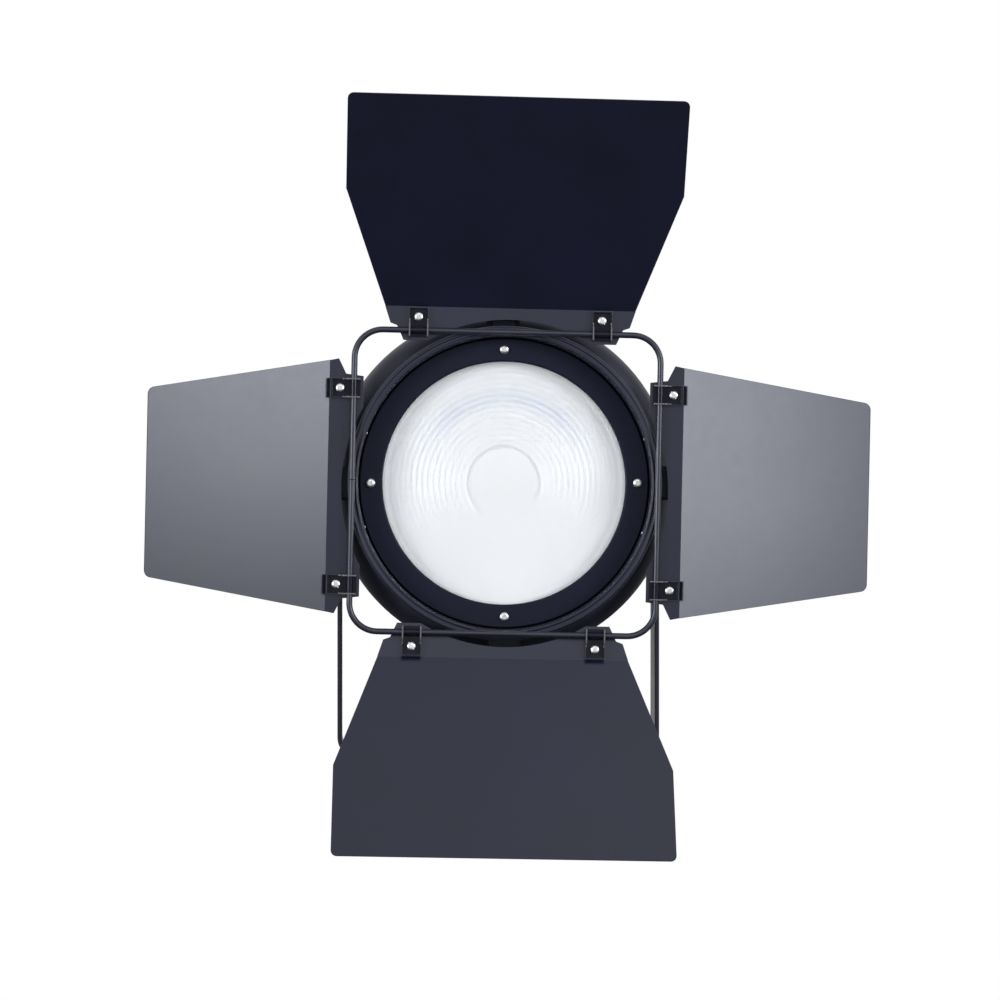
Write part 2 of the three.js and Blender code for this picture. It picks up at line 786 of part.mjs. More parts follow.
function filterRing() {
  const ring = turnedRing([
    [beamRadius, filterRingBackY],
    [beamRadius, filterRingFrontY + filterRingThickness / 3],
    [beamRadius + filterRingThickness / 3, filterRingFrontY],
    [filterRingRadius, filterRingFrontY],
    [filterRingRadius, filterRingBackY],
  ]);
  const holes = spots(filterScrewCount).map((angle) =>
    solid(
      bar(
        "Y",
        filterScrewRadius + seatGap,
        filterRingFrontY - cutOverrun,
        filterRingBackY + cutOverrun,
        [0, 0, filterScrewPitch],
        screwSides,
      ).rotateY(angle),
    ),
  );
  return cut(solid(ring), ...holes);
}

// A slotted pan-head screw that points along +Y from the underside of its head at Y = 0.
function panScrew(radius, length, headRadius, headHeight, slotAngle) {
  const screw = turned(
    [
      [0, -headHeight],
      [headRadius * panCrownShare, -headHeight],
      [headRadius, -headHeight / 2],
      [headRadius, 0],
      [radius, 0],
      [radius, length],
      [0, length],
    ],
    "Y",
    [0, 0, 0],
    screwSides,
  );
  const slot = block(
    [-headRadius - cutOverrun, headRadius + cutOverrun],
    [-headHeight - cutOverrun, -headHeight + screwSlotDepth],
    [-screwSlotWidth / 2, screwSlotWidth / 2],
  ).rotateY(slotAngle);
  return cut(solid(screw), solid(slot));
}

// The stepped lens: a low crown in the middle, and rings whose slopes carry the curve on.
function steppedLens() {
  const start = lensRadius * lensStepStartShare;
  const valleyY = lensFrontY + lensStepRise;
  const crown = Array.from({ length: lensCrownSteps + 1 }, (_, i) => {
    const angle = (Math.PI / 2) * (i / lensCrownSteps);
    return [start * Math.sin(angle), valleyY - lensCrownRise * Math.cos(angle)];
  });
  const width = (lensRadius - lensRingLip - start) / lensSteps;
  const steps = Array.from({ length: lensSteps }, (_, i) => [
    [start + width * i, lensFrontY + seatGap],
    [start + width * (i + 1), valleyY],
  ]).flat();
  return solid(
    turned([
      ...crown,
      ...steps,
      [start + width * lensSteps, lensFrontY],
      [lensRadius, lensFrontY],
      [lensRadius, lensBackY],
      [0, lensBackY],
    ]),
  );
}

function lensRing() {
  const lipY = lensBackY + seatGap;
  return solid(
    turnedRing([
      [lensRadius + seatGap, lensFrontY],
      [collarRadius - collarWall - seatGap, lensFrontY],
      [collarRadius - collarWall - seatGap, lipY + lensRingLipThickness],
      [lensRadius - lensRingLip, lipY + lensRingLipThickness],
      [lensRadius - lensRingLip, lipY],
      [lensRadius + seatGap, lipY],
    ]),
  );
}

head.add(
  piece("housing_barrel", housingBarrel(), "satinBlack"),
  piece("front_bezel", frontBezel(), "satinBlack"),
  piece("filter_glass", filterGlass(), "clearGlass"),
  piece("filter_ring", filterRing(), "flatBlack"),
  piece("fresnel_lens", steppedLens(), "frostedGlass"),
  piece("lens_ring", lensRing(), "aluminium"),
);
spots(filterScrewCount).forEach((angle, i) => {
  const screw = panScrew(
    filterScrewRadius,
    filterScrewLength,
    filterScrewHeadRadius,
    filterScrewHeadHeight,
    angle + THREE.MathUtils.degToRad(filterScrewSlotDeg),
  );
  const mesh = piece(`filter_screw_${i + 1}`, screw, "bareSteel");
  mesh.position.set(
    filterScrewPitch * Math.sin(angle),
    filterRingFrontY - seatGap,
    filterScrewPitch * Math.cos(angle),
  );
  head.add(mesh);
});

// A fixed ear, modelled at the top of the bezel: a foot on its boss, and a lip that hooks in
// front of the barn door's rear flange.
function ear() {
  const footBack = shoulderY - seatGap;
  const footFront = footBack - earFootThickness;
  const foot = block(
    [-earHalf, earHalf],
    [footFront, footBack],
    [doorRingRadius + earClearance, earBossReach],
  );
  const lip = block(
    [-earHalf, earHalf],
    [footFront - earLipThickness, footFront + seatGap],
    [earLipReach, earLipReach + earLipDepth],
  );
  const rivetAt = [0, 0, (earLipReach + earLipDepth + earBossReach) / 2];
  const rivet = bar("Y", earRivetRadius, footFront - earRivetHeight, footBack - seatGap, rivetAt);
  const lipCut = block(
    [-earHalf - cutOverrun, earHalf + cutOverrun],
    [footFront, footBack + cutOverrun],
    [0, doorRingRadius + earClearance],
  );
  return cut(join(solid(foot), solid(lip), solid(rivet)), solid(lipCut));
}

const latchPinY = shoulderY - seatGap - latchPinStandoff;

// The latch's bracket: two cheeks on the top boss with the pin between them.
function latchBracket() {
  const footBack = shoulderY - seatGap;
  const outer = latchHalf + seatGap + latchCheekThickness;
  const cheekHalf = latchBarrelRadius;
  const cheeks = [-1, 1].map((side) =>
    solid(
      block(
        [side * (latchHalf + seatGap), side * outer].sort((a, b) => a - b),
        [latchPinY - cheekHalf, footBack],
        [latchPinReach - cheekHalf, latchPinReach + cheekHalf],
      ),
    ),
  );
  const pin = bar("X", latchPinRadius, -outer, outer, [0, latchPinY, latchPinReach]);
  return join(...cheeks, solid(pin));
}

// The latch: a sleeve on the pin, a finger into the barn door's groove and a thumb tab.
function topLatch() {
  const footFront = shoulderY - seatGap - earFootThickness;
  const at = [0, latchPinY, latchPinReach];
  const sleeve = bar("X", latchBarrelRadius, -latchHalf, latchHalf, at);
  const finger = block(
    [-latchHalf, latchHalf],
    [footFront - earLipThickness, footFront],
    [earLipReach, latchPinReach],
  );
  const tab = block(
    [-latchHalf, latchHalf],
    [latchPinY - latchTabThickness, latchPinY],
    [latchPinReach + latchPinRadius, latchPinReach + latchTabLength],
  );
  return cut(
    join(solid(sleeve), solid(finger), solid(tab)),
    solid(bar("X", latchPinRadius + runningGap, -latchHalf - cutOverrun, latchHalf + cutOverrun, at)),
  );
}

["right", "bottom", "left"].forEach((side, i) => {
  const mesh = piece(`ear_${side}`, ear(), "satinBlack");
  mesh.rotation.y = spots(earCount)[i + 1];
  head.add(mesh);
});
head.add(piece("latch_bracket", latchBracket(), "blackSteel"));
head.add(piece("top_latch", topLatch(), "satinBlack"));

// The barn door's ring: a front bead, a neck that the ears reach into and a rear flange.
function doorRing() {
  const beadBack = doorRingFrontY + doorRingBead;
  const flangeFront = doorRingBackY - doorRingFlange;
  return solid(
    turnedRing([
      [doorRingBore, doorRingBackY],
      [doorRingBore, doorRingFrontY + doorRingRound],
      [doorRingBore + doorRingRound, doorRingFrontY],
      [doorRingRadius - doorRingRound, doorRingFrontY],
      [doorRingRadius, doorRingFrontY + doorRingRound],
      [doorRingRadius, beadBack],
      [doorRingNeck, beadBack + doorRingRound],
      [doorRingNeck, flangeFront],
      [doorRingRadius, flangeFront],
      [doorRingRadius, doorRingBackY],
    ]),
  );
}

// The hinge frame: one round rod bent to a rectangle, open at a butt joint on the left.
function hingeFrame() {
  const x = new THREE.Vector3(1, 0, 0);
  const z = new THREE.Vector3(0, 0, 1);
  const [left, down] = [x.clone().negate(), z.clone().negate()];
  const centreX = frameHalfWidth - frameBend;
  const centreZ = frameHalfHeight - frameBend;
  const bend = (sideX, sideZ, from, to) => {
    const centre = new THREE.Vector3(sideX * centreX, 0, sideZ * centreZ);
    return bendPoints(centre, from, to, frameBend, frameBendSteps);
  };
  const end = (side) => new THREE.Vector3(-frameHalfWidth, 0, (side * frameJointGap) / 2);
  const points = [
    end(1),
    ...bend(-1, 1, left, z),
    ...bend(1, 1, z, x),
    ...bend(1, -1, x, down),
    ...bend(-1, -1, down, left),
    end(-1),
  ];
  return solid(bentRod(points, rodRadius));
}

// A leaf in its hinge's frame: X along the rod, Z outward, the rod's axis at the origin. A strip
// lies behind the rod, and the main panel is folded forward from it.
function leafBody(form, reach) {
  const fold = THREE.MathUtils.degToRad(leafFoldDeg);
  const back = leafFront + leafSheet;
  const bendY = leafFront - leafFoldRadius;
  const arc = (radius) =>
    Array.from({ length: leafFoldSteps + 1 }, (_, i) => {
      const angle = (fold * i) / leafFoldSteps;
      return [bendY + radius * Math.cos(angle), leafFoldAt + radius * Math.sin(angle)];
    });
  const far = (radius) => [
    bendY + radius * Math.cos(fold) - form.panelLength * Math.sin(fold),
    leafFoldAt + radius * Math.sin(fold) + form.panelLength * Math.cos(fold),
  ];
  const outerRadius = leafFoldRadius + leafSheet;
  const section = [
    [leafFront, -leafFlange],
    ...arc(leafFoldRadius),
    far(leafFoldRadius),
    far(outerRadius),
    ...arc(outerRadius).reverse(),
    [back, -leafFlange],
  ];
  const widest = Math.max(form.farHalf, form.foldHalf) + cutOverrun;
  const bent = solid(plate("YZ", section, -widest, widest));
  const strip = mirrored([
    [form.foldHalf - form.flangeInset, -leafFlange - cutOverrun],
    [form.foldHalf - form.flangeInset, -leafFlange],
    [form.foldHalf - form.chamferInset, leafFoldAt - form.chamferDepth],
    [form.foldHalf - form.stripTaper, leafFoldAt - form.taperDepth],
    [form.foldHalf, leafFoldAt + leafFoldRadius],
  ]);
  const kink = form.slant ? [[form.farHalf, form.slant]] : [];
  const panel = mirrored([[form.foldHalf, 0], ...kink, [form.farHalf, form.panelLength, leafCorner]]);
  const panelTool = plate("XZ", panel, leafFoldRadius - cutOverrun, outerRadius + cutOverrun)
    .rotateX(fold)
    .translate(0, bendY, leafFoldAt);
  const outline = join(
    solid(plate("XZ", strip, leafFront - cutOverrun, back + cutOverrun)),
    solid(panelTool),
  );
  const ringCut = bar("Y", leafRingCut, 0, back + cutOverrun, [0, 0, -reach], beamSides * 2);
  const holes = [-1, 1].map((side) => {
    const at = [side * (form.foldHalf - form.clipInset), 0, clipScrewAt];
    return solid(bar("Y", clipScrewRadius + seatGap, 0, back + cutOverrun, at, screwSides));
  });
  return cut(bent.intersect(outline), solid(ringCut), ...holes);
}

// A clip: a folded tray whose two walls the rod runs through, screwed to the strip.
function hingeClip() {
  const floorBack = clipFloorFront + clipSheet;
  const lowFront = clipFloorFront - clipLowWall;
  const wall = [
    [floorBack, -clipInner],
    [-clipWallFront, -clipInner, clipInner / 3],
    [-clipWallFront, clipInner, clipInner / 3],
    [lowFront, clipInner + clipLowWall],
    [lowFront, clipOuter],
    [floorBack, clipOuter],
  ];
  const inside = clipHalf - clipSheet;
  const over = clipHalf + cutOverrun;
  const rodHole = bar("X", rodRadius + runningGap, -over, over, [0, 0, 0], rodSides);
  const screwAt = [0, 0, clipScrewAt];
  const screwRadius = clipScrewRadius + seatGap;
  return cut(
    solid(plate("YZ", wall, -clipHalf, clipHalf)),
    solid(
      block(
        [-inside, inside],
        [-clipWallFront - cutOverrun, clipFloorFront],
        [-clipInner - cutOverrun, clipOuter - clipSheet],
      ),
    ),
    solid(rodHole),
    solid(bar("Y", screwRadius, 0, floorBack + cutOverrun, screwAt, screwSides)),
  );
}

// The clip's screw with its nut behind the leaf.
function clipScrew(slotAngle) {
  const nutFace = clipSheet + leafSheet + 3 * seatGap;
  const nut = bar("Y", clipNutRadius, nutFace, nutFace + clipNutHeight, [0, 0, 0], hexSides);
  const length = nutFace + clipNutHeight + seatGap;
  const screw = panScrew(clipScrewRadius, length, clipScrewHeadRadius, clipScrewHeadHeight, slotAngle);
  return join(screw, solid(nut));
}

door.add(piece("door_ring", doorRing(), "satinBlack"));
const frameMesh = piece("hinge_frame", hingeFrame(), "rodPaint");
frameMesh.position.y = rodY;
door.add(frameMesh);

leafSides.forEach(({ side, turnDeg, reach, form }) => {
  const spoke = new THREE.Group();
  spoke.rotation.y = THREE.MathUtils.degToRad(turnDeg);
  const hinge = new THREE.Group();
  hinge.position.set(leafSlide[side], rodY, reach);
  hinge.rotation.x = THREE.MathUtils.degToRad(leafRestDeg[side]);
  hinge.add(piece(`leaf_${side}`, leafBody(form, reach), "leafPaint"));
  [-1, 1].forEach((end, i) => {
    const place = end * (form.foldHalf - form.clipInset);
    const clip = piece(`hinge_clip_${side}_${i + 1}`, hingeClip(), "blackSteel");
    clip.position.x = place;
    const slotAngle = end * THREE.MathUtils.degToRad(clipScrewSlotDeg);
    const screw = piece(`clip_screw_${side}_${i + 1}`, clipScrew(slotAngle), "bareSteel");
    screw.position.set(place, clipFloorFront - seatGap, clipScrewAt);
    hinge.add(clip, screw);
  });
  spoke.add(hinge);
  door.add(spoke);
});

// The rear cover: a domed cap with slots on both sides of the handle.
function rearCover() {
  const bend = (inset) =>
    Array.from({ length: coverBendSteps + 1 }, (_, i) => {
      const angle = (Math.PI / 2) * (i / coverBendSteps);
      const width = barrelOuter - coverFlatRadius - inset;
      const depth = coverDepth - coverRimDepth - inset;
      const place = coverFrontY + coverRimDepth + depth * Math.sin(angle);
      return [coverFlatRadius + width * Math.cos(angle), place];
    });
  const shell = turned([
    [0, coverBackY - coverWall],
    ...bend(coverWall).reverse(),
    [barrelOuter - coverWall, coverFrontY],
    [barrelOuter, coverFrontY],
    ...bend(0),
    [0, coverBackY],
  ]);
  const through = [coverBackY - coverWall - cutOverrun / 2, coverBackY + cutOverrun];
  const slots = [-1, 1].flatMap((side) =>
    Array.from({ length: coverSlotCount }, (_, i) => {
      const x = side * (coverSlotStart + coverSlotPitch * i);
      const outShare = (coverSlotFallShare * i) / (coverSlotCount - 1);
      const half = coverSlotHalf * Math.sqrt(1 - outShare ** 2);
      return solid(
        block(
          [x - coverSlotWidth / 2, x + coverSlotWidth / 2],
          through,
          [coverSlotMiddle - half, coverSlotMiddle + half],
        ),
      );
    }),
  );
  const holeHalfHeight = switchHalfHeight + switchRunningGap;
  const switchHole = block(
    [switchX - switchHalfWidth - seatGap, switchX + switchHalfWidth + seatGap],
    through,
    [switchZ - holeHalfHeight, switchZ + holeHalfHeight],
  );
  const screwHole = bar("Y", focusScrewRadius + runningGap, ...through, [0, 0, screwZ]);
  return cut(solid(shell), solid(switchHole), solid(screwHole), ...slots);
}

// The handle: a bent tube between two round feet.
function rearHandle() {
  const footBack = coverBackY + seatGap;
  const gripY = footBack + handleReach;
  const y = new THREE.Vector3(0, 1, 0);
  const z = new THREE.Vector3(0, 0, 1);
  const topCentre = new THREE.Vector3(0, gripY - handleBend, handleTop - handleBend);
  const lowCentre = new THREE.Vector3(0, gripY - handleBend, handleBottom + handleBend);
  const points = [
    new THREE.Vector3(0, footBack, handleTop),
    ...bendPoints(topCentre, z, y, handleBend, handleBendSteps),
    ...bendPoints(lowCentre, y, z.clone().negate(), handleBend, handleBendSteps),
    new THREE.Vector3(0, footBack, handleBottom),
  ];
  const footFront = footBack + handleFootThickness;
  const feet = [handleTop, handleBottom].map((height) =>
    solid(bar("Y", handleFootRadius, footBack, footFront, [0, 0, height], barSides * 2)),
  );
  return join(solid(bentRod(points, handleRadius)), ...feet);
}

// The rocker, tilted to its off side; it turns on the axis at the middle of the cover's wall.
function powerSwitch() {
  const rise = Math.tan(THREE.MathUtils.degToRad(switchRockDeg)) * switchHalfHeight;
  const outline = [
    [switchProud + rise, switchHalfHeight],
    [switchProud - rise / 2, 0],
    [switchProud, -switchHalfHeight],
    [-switchDepth, -switchHalfHeight / 2],
    [-switchDepth, switchHalfHeight / 2],
  ];
  return solid(plate("YZ", outline, -switchHalfWidth, switchHalfWidth));
}

// The base housing: a trough under the barrel, with two upright brackets for the focus drive.
function baseHousing() {
  const outer = mirrored([
    [baseHalfWidth, baseBottom, baseCorner],
    [baseHalfWidth, 0],
  ]);
  const inner = mirrored([
    [baseHalfWidth - baseWall, baseBottom + baseWall, baseCorner - baseWall],
    [baseHalfWidth - baseWall, cutOverrun],
  ]);
  const low = baseFrontY - cutOverrun;
  const high = baseRearY + cutOverrun;
  const saddle = bar("Y", barrelOuter + seatGap, low, high, [0, 0, 0], beamSides);
  const trough = cut(
    solid(plate("XZ", outer, baseFrontY, baseRearY)),
    solid(plate("XZ", inner, baseFrontY + baseWall, baseRearY - baseWall)),
    solid(saddle),
  );
  const floor = baseBottom + baseWall / 2;
  const bracketPlaces = [
    [baseFrontY, baseFrontY + bracketThickness],
    [baseRearY - bracketThickness, baseRearY],
  ];
  const brackets = bracketPlaces.map((range) =>
    solid(block([-bracketHalf, bracketHalf], range, [floor, bracketTop])),
  );
  const rodHoles = [-1, 1].map((side) => {
    const at = [side * guideRodX, 0, screwZ];
    return solid(bar("Y", guideRodRadius + seatGap, rodSeatFrontY, rodSeatRearY, at));
  });
  const screwHole = solid(bar("Y", focusScrewRadius + runningGap, low, high, [0, 0, screwZ]));
  const inletHole = solid(bar("Y", inletRadius + seatGap - inletWall, 0, high, [0, 0, inletZ]));
  return cut(join(trough, ...brackets), ...rodHoles, screwHole, inletHole);
}

// The supply inlet: a flanged round socket.
function supplyInlet() {
  const face = baseRearY + seatGap;
  const flange = plate(
    "XZ",
    rectangle(inletFlangeHalf, inletZ - inletFlangeHalf, inletZ + inletFlangeHalf, inletWall),
    face,
    face + inletFlangeThickness,
  );
  const shell = bar("Y", inletRadius, face, face + inletLength, [0, 0, inletZ], barSides * 2);
  const well = bar(
    "Y",
    inletRadius - inletWall,
    face + inletFlangeThickness,
    face + inletLength + cutOverrun,
    [0, 0, inletZ],
    barSides * 2,
  );
  return cut(join(solid(flange), solid(shell)), solid(well));
}

// The vent hood: a slotted cover on the barrel's top fins.
function topVent() {
  const chamfer = ventTop - barrelOuter;
  const outer = mirrored([
    [ventHalfWidth, 0],
    [ventHalfWidth, ventTop - chamfer / 2],
    [ventHalfWidth - chamfer / 2, ventTop],
  ]);
  const inner = mirrored([
    [ventHalfWidth - ventWall, -cutOverrun],
    [ventHalfWidth - ventWall, ventTop - chamfer / 2 - ventWall / 3],
    [ventHalfWidth - chamfer / 2 - ventWall / 3, ventTop - ventWall],
  ]);
  const low = ventFrontY - cutOverrun;
  const high = ventRearY + cutOverrun;
  const saddle = bar("Y", barrelOuter + seatGap, low, high, [0, 0, 0], beamSides);
  const pitch = (ventRearY - ventFrontY) / (ventSlotCount + 1);
  const slots = Array.from({ length: ventSlotCount }, (_, i) => {
    const y = ventFrontY + pitch * (i + 1);
    return solid(
      block(
        [-ventSlotHalf, ventSlotHalf],
        [y - ventSlotWidth / 2, y + ventSlotWidth / 2],
        [ventTop - ventWall - cutOverrun / 2, ventTop + cutOverrun],
      ),
    );
  });
  return cut(
    solid(plate("XZ", outer, ventFrontY, ventRearY)),
    solid(plate("XZ", inner, ventFrontY + ventWall, ventRearY - ventWall)),
    solid(saddle),
    ...slots,
  );
}

head.add(
  piece("rear_cover", rearCover(), "satinBlack"),
  piece("rear_handle", rearHandle(), "blackPlastic"),
  piece("base_housing", baseHousing(), "satinBlack"),
  piece("supply_inlet", supplyInlet(), "blackPlastic"),
  piece("top_vent", topVent(), "satinBlack"),
);
const switchMesh = piece("power_switch", powerSwitch(), "blackPlastic");
switchMesh.position.set(switchX, coverBackY, switchZ);
head.add(switchMesh);

// The focus drive: two guide rods, and a coarse screw turned by the knob behind the cover.
function guideRod(side) {
  const at = [side * guideRodX, 0, screwZ];
  return solid(bar("Y", guideRodRadius, rodSeatFrontY + seatGap, rodSeatRearY - seatGap, at));
}

function focusScrew() {
  return solid(bar("Y", focusScrewRadius, baseFrontY, focusScrewEndY, [0, 0, screwZ]));
}

function focusKnob() {
  const ribs = wavyOutline(focusKnobRadius, focusKnobRibDepth, focusKnobRibs, ribSteps);
  const face = coverBackY + seatGap;
  const knob = plate("XZ", ribs, face, face + focusKnobLength).translate(0, 0, screwZ);
  const boreEnd = focusScrewEndY + seatGap;
  const bore = bar("Y", focusScrewRadius + seatGap, face - cutOverrun, boreEnd, [0, 0, screwZ]);
  return cut(solid(knob), solid(bore));
}

// The carriage: a block on the guide rods, with a post for the mirror, in the lamp's frame.
function lampCarriage() {
  const range = [-carriageHalfDepth, carriageHalfDepth];
  const top = screwZ + carriageHalfHeight;
  const bottom = screwZ - carriageHalfHeight;
  const body = block([-carriageHalfWidth, carriageHalfWidth], range, [bottom, top]);
  const arm = block(
    [-postHalfWidth, postHalfWidth],
    [carriageHalfDepth - postThickness, mirrorRadius],
    [top - postThickness, top],
  );
  const post = block(
    [-postHalfWidth, postHalfWidth],
    [mirrorRadius - postThickness, mirrorRadius],
    [top - postThickness, postTop],
  );
  const low = -mirrorRadius;
  const bores = [
    bar("Y", focusScrewRadius + runningGap, low, mirrorRadius + cutOverrun, [0, 0, screwZ]),
    ...[-1, 1].map((side) =>
      bar("Y", guideRodRadius + runningGap, low, mirrorRadius, [side * guideRodX, 0, screwZ]),
    ),
  ];
  return cut(join(solid(body), solid(arm), solid(post)), ...bores.map(solid));
}

// The mirror: part of a ball round the lamp, with a tongue down to its post.
function mirrorBody() {
  const halfAngle = THREE.MathUtils.degToRad(mirrorHalfAngleDeg);
  const arc = (radius) =>
    Array.from({ length: mirrorSteps + 1 }, (_, i) => {
      const angle = (halfAngle * i) / mirrorSteps;
      return [radius * Math.sin(angle), radius * Math.cos(angle)];
    });
  const inner = mirrorRadius - mirrorThickness;
  const profile = [...arc(mirrorRadius), ...arc(inner).reverse()];
  const shell = solid(turned(profile, "Y", [0, 0, 0], beamSides / 2));
  const tongueFront = mirrorRadius - postThickness - seatGap - mirrorThickness;
  const tongue = block(
    [-postHalfWidth, postHalfWidth],
    [tongueFront, tongueFront + mirrorThickness],
    [postTop - postThickness, 0],
  );
  const middle = inner + mirrorThickness / 2;
  const hollow = solid(new THREE.SphereGeometry(middle, beamSides / 2, beamSides / 4));
  return join(shell, cut(solid(tongue), hollow));
}

function lampSocket() {
  const bottom = screwZ + carriageHalfHeight + seatGap;
  return solid(
    block(
      [-lampSocketHalf, lampSocketHalf],
      [-lampSocketHalf, lampSocketHalf],
      [bottom, bottom + lampSocketHeight],
    ),
  );
}

// The lamp: a base, a short stem, a rounded bulb and a tip, round a vertical axis.
function lampBulb() {
  const bottom = screwZ + carriageHalfHeight + lampSocketHeight + 2 * seatGap;
  const bulb = Array.from({ length: lampBulbSteps - 1 }, (_, i) => {
    const angle = (Math.PI * (i + 1)) / lampBulbSteps;
    const radius = Math.max(lampBulbRadius * Math.sin(angle), lampTipRadius);
    return [radius, -lampBulbHalf * Math.cos(angle)];
  });
  const profile = [
    [0, bottom],
    [lampBaseRadius, bottom],
    [lampBaseRadius, bottom + lampBaseHeight],
    [lampStemRadius, bottom + lampBaseHeight],
    [lampStemRadius, -lampBulbHalf],
    ...bulb,
    [lampTipRadius, lampBulbHalf + lampTipLength],
    [0, lampBulbHalf + lampTipLength],
  ];
  return solid(turned(profile, "Z", [0, 0, 0], lampSides));
}

head.add(
  piece("guide_rod_left", guideRod(-1), "bareSteel"),
  piece("guide_rod_right", guideRod(1), "bareSteel"),
  piece("focus_screw", focusScrew(), "bareSteel"),
  piece("focus_knob", focusKnob(), "blackPlastic"),
);
const carriage = new THREE.Group();
carriage.position.y = lampY;
carriage.add(
  piece("lamp_carriage", lampCarriage(), "aluminium"),
  piece("lamp_mirror", mirrorBody(), "mirror"),
  piece("lamp_socket", lampSocket(), "ceramic"),
  piece("lamp_bulb", lampBulb(), "clearGlass"),
);
head.add(carriage);

export default root;
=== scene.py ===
"""Fine pieces, finishes and studio for a focusing stage light with a four-leaf barn door."""

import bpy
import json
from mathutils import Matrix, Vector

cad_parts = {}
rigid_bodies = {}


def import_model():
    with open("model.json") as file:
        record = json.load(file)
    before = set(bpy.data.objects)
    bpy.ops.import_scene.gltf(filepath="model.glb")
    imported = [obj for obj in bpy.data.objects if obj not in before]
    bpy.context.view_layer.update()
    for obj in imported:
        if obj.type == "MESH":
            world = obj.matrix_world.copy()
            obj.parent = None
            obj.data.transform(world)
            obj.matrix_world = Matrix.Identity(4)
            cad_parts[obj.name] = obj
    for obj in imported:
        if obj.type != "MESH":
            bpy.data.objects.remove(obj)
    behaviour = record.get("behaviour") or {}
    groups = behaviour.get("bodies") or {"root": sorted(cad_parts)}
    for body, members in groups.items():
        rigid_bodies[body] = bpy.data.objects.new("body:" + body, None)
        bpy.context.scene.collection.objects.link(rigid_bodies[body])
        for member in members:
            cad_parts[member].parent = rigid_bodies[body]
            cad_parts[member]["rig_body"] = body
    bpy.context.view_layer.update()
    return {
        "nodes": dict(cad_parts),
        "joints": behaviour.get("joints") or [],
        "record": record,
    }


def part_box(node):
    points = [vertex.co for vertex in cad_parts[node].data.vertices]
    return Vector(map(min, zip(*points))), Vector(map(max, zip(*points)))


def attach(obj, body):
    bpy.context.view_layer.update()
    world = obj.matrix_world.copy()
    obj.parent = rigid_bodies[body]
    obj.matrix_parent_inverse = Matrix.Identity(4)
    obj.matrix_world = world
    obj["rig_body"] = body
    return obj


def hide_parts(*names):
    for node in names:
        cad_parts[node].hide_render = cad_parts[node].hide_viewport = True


bl_info = {
    "name": "Stage Light Looks",
    "version": (1, 0, 0),
    "blender": (4, 5, 0),
    "location": "View3D > Sidebar > Stage Light",
    "description": "Builds the fine pieces, finishes and studio of a round stage light",
    "category": "Object",
}

import json
import math

import bmesh
import bpy
from bpy.props import FloatProperty, FloatVectorProperty, IntProperty, PointerProperty
from mathutils import Matrix, Vector

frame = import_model()

MM = 0.001
FULL_TURN = 2 * math.pi
HALF_TURN = math.pi
QUARTER = math.pi / 2
Y_AXIS = Vector((0, 1, 0))
WELD = 0.002 * MM
OVERRUN = 6 * MM  # how far a cutter runs past the face that it opens
SEAT = 0.3 * MM  # gap between two pieces that rest on each other
BEND_STEPS = 12

SLOT_OF = {row["node"]: row["material_slot"] for row in frame["record"]["subparts"]}
JOINTS = {joint["name"]: joint for joint in frame["joints"]}


def sides(node):
    """A node's box as its (low, high) along X, Y and Z."""
    low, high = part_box(node)
    return [(low[i], high[i]) for i in range(3)]


def middle(pair):
    return (pair[0] + pair[1]) / 2


# Places of the frame
BEAM_Z = middle(sides("filter_glass")[2])
HEAD = Matrix.Translation((0, 0, BEAM_Z))
DOOR_HINGE = JOINTS["leaf_top_fold"]
DOOR_TURN = math.atan2(-DOOR_HINGE["axis"][2], DOOR_HINGE["axis"][0])
DOOR = HEAD @ Matrix.Rotation(DOOR_TURN, 4, "Y")
ROD_Y = DOOR_HINGE["pos_m"][1]

# Stand socket and yoke
SOCKET_RADIUS = 17 * MM
SOCKET_HEIGHT = 50 * MM
SOCKET_BORE = 8.1 * MM
SOCKET_ROOF = 8 * MM
SOCKET_GROOVE = 0.8 * MM
SOCKET_GROOVE_Z = (8 * MM, 9 * MM, 11 * MM, 12 * MM)
CLAMP_HEIGHT = 25 * MM
CLAMP_BOSS_RADIUS = 9 * MM
CLAMP_BOSS_REACH = 21 * MM
CLAMP_STUD_RADIUS = 4 * MM
CLAMP_REACH = 34 * MM
CLAMP_BAR_RADIUS = 4.5 * MM
CLAMP_BAR_HALF = 22 * MM
THREAD_DEPTH = 0.45 * MM
THREAD_PITCH = 1.5 * MM
BOLT_RADIUS = 5 * MM
HEX_RADIUS = 8.5 * MM
HEX_HEIGHT = 6.5 * MM
STRAP = 4 * MM
STRAP_HALF = 20 * MM
STRAP_LOW = 50.3 * MM
STRAP_BEND = 14 * MM
LEG_INSIDE = 134.3 * MM

# Tilt pivot
PLATE_INSIDE = 125.9 * MM
PLATE_THICKNESS = 8.1 * MM
PLATE_HALF = 30 * MM
PLATE_CORNER = 8 * MM
PLATE_SCREW_AT = 23.5 * MM
PLATE_SCREW_RADIUS = 3.2 * MM
PLATE_SCREW_DEPTH = 2 * MM
PLATE_SCREW_GAP = 0.15 * MM
PLATE_SCREW_KEY = 1.6 * MM
KEY_DEPTH = 1.4 * MM
PIVOT_RADIUS = 5 * MM
WASHER_RADIUS = 16 * MM
WASHER_THICKNESS = 2.5 * MM
KNOB_FLANGE_RADIUS = 14 * MM
KNOB_FLANGE = 3.5 * MM
KNOB_RADIUS = 26 * MM
KNOB_LOBE = 4 * MM
KNOB_LENGTH = 22 * MM
KNOB_LOBES = 6
KNOB_DISH = 1 * MM

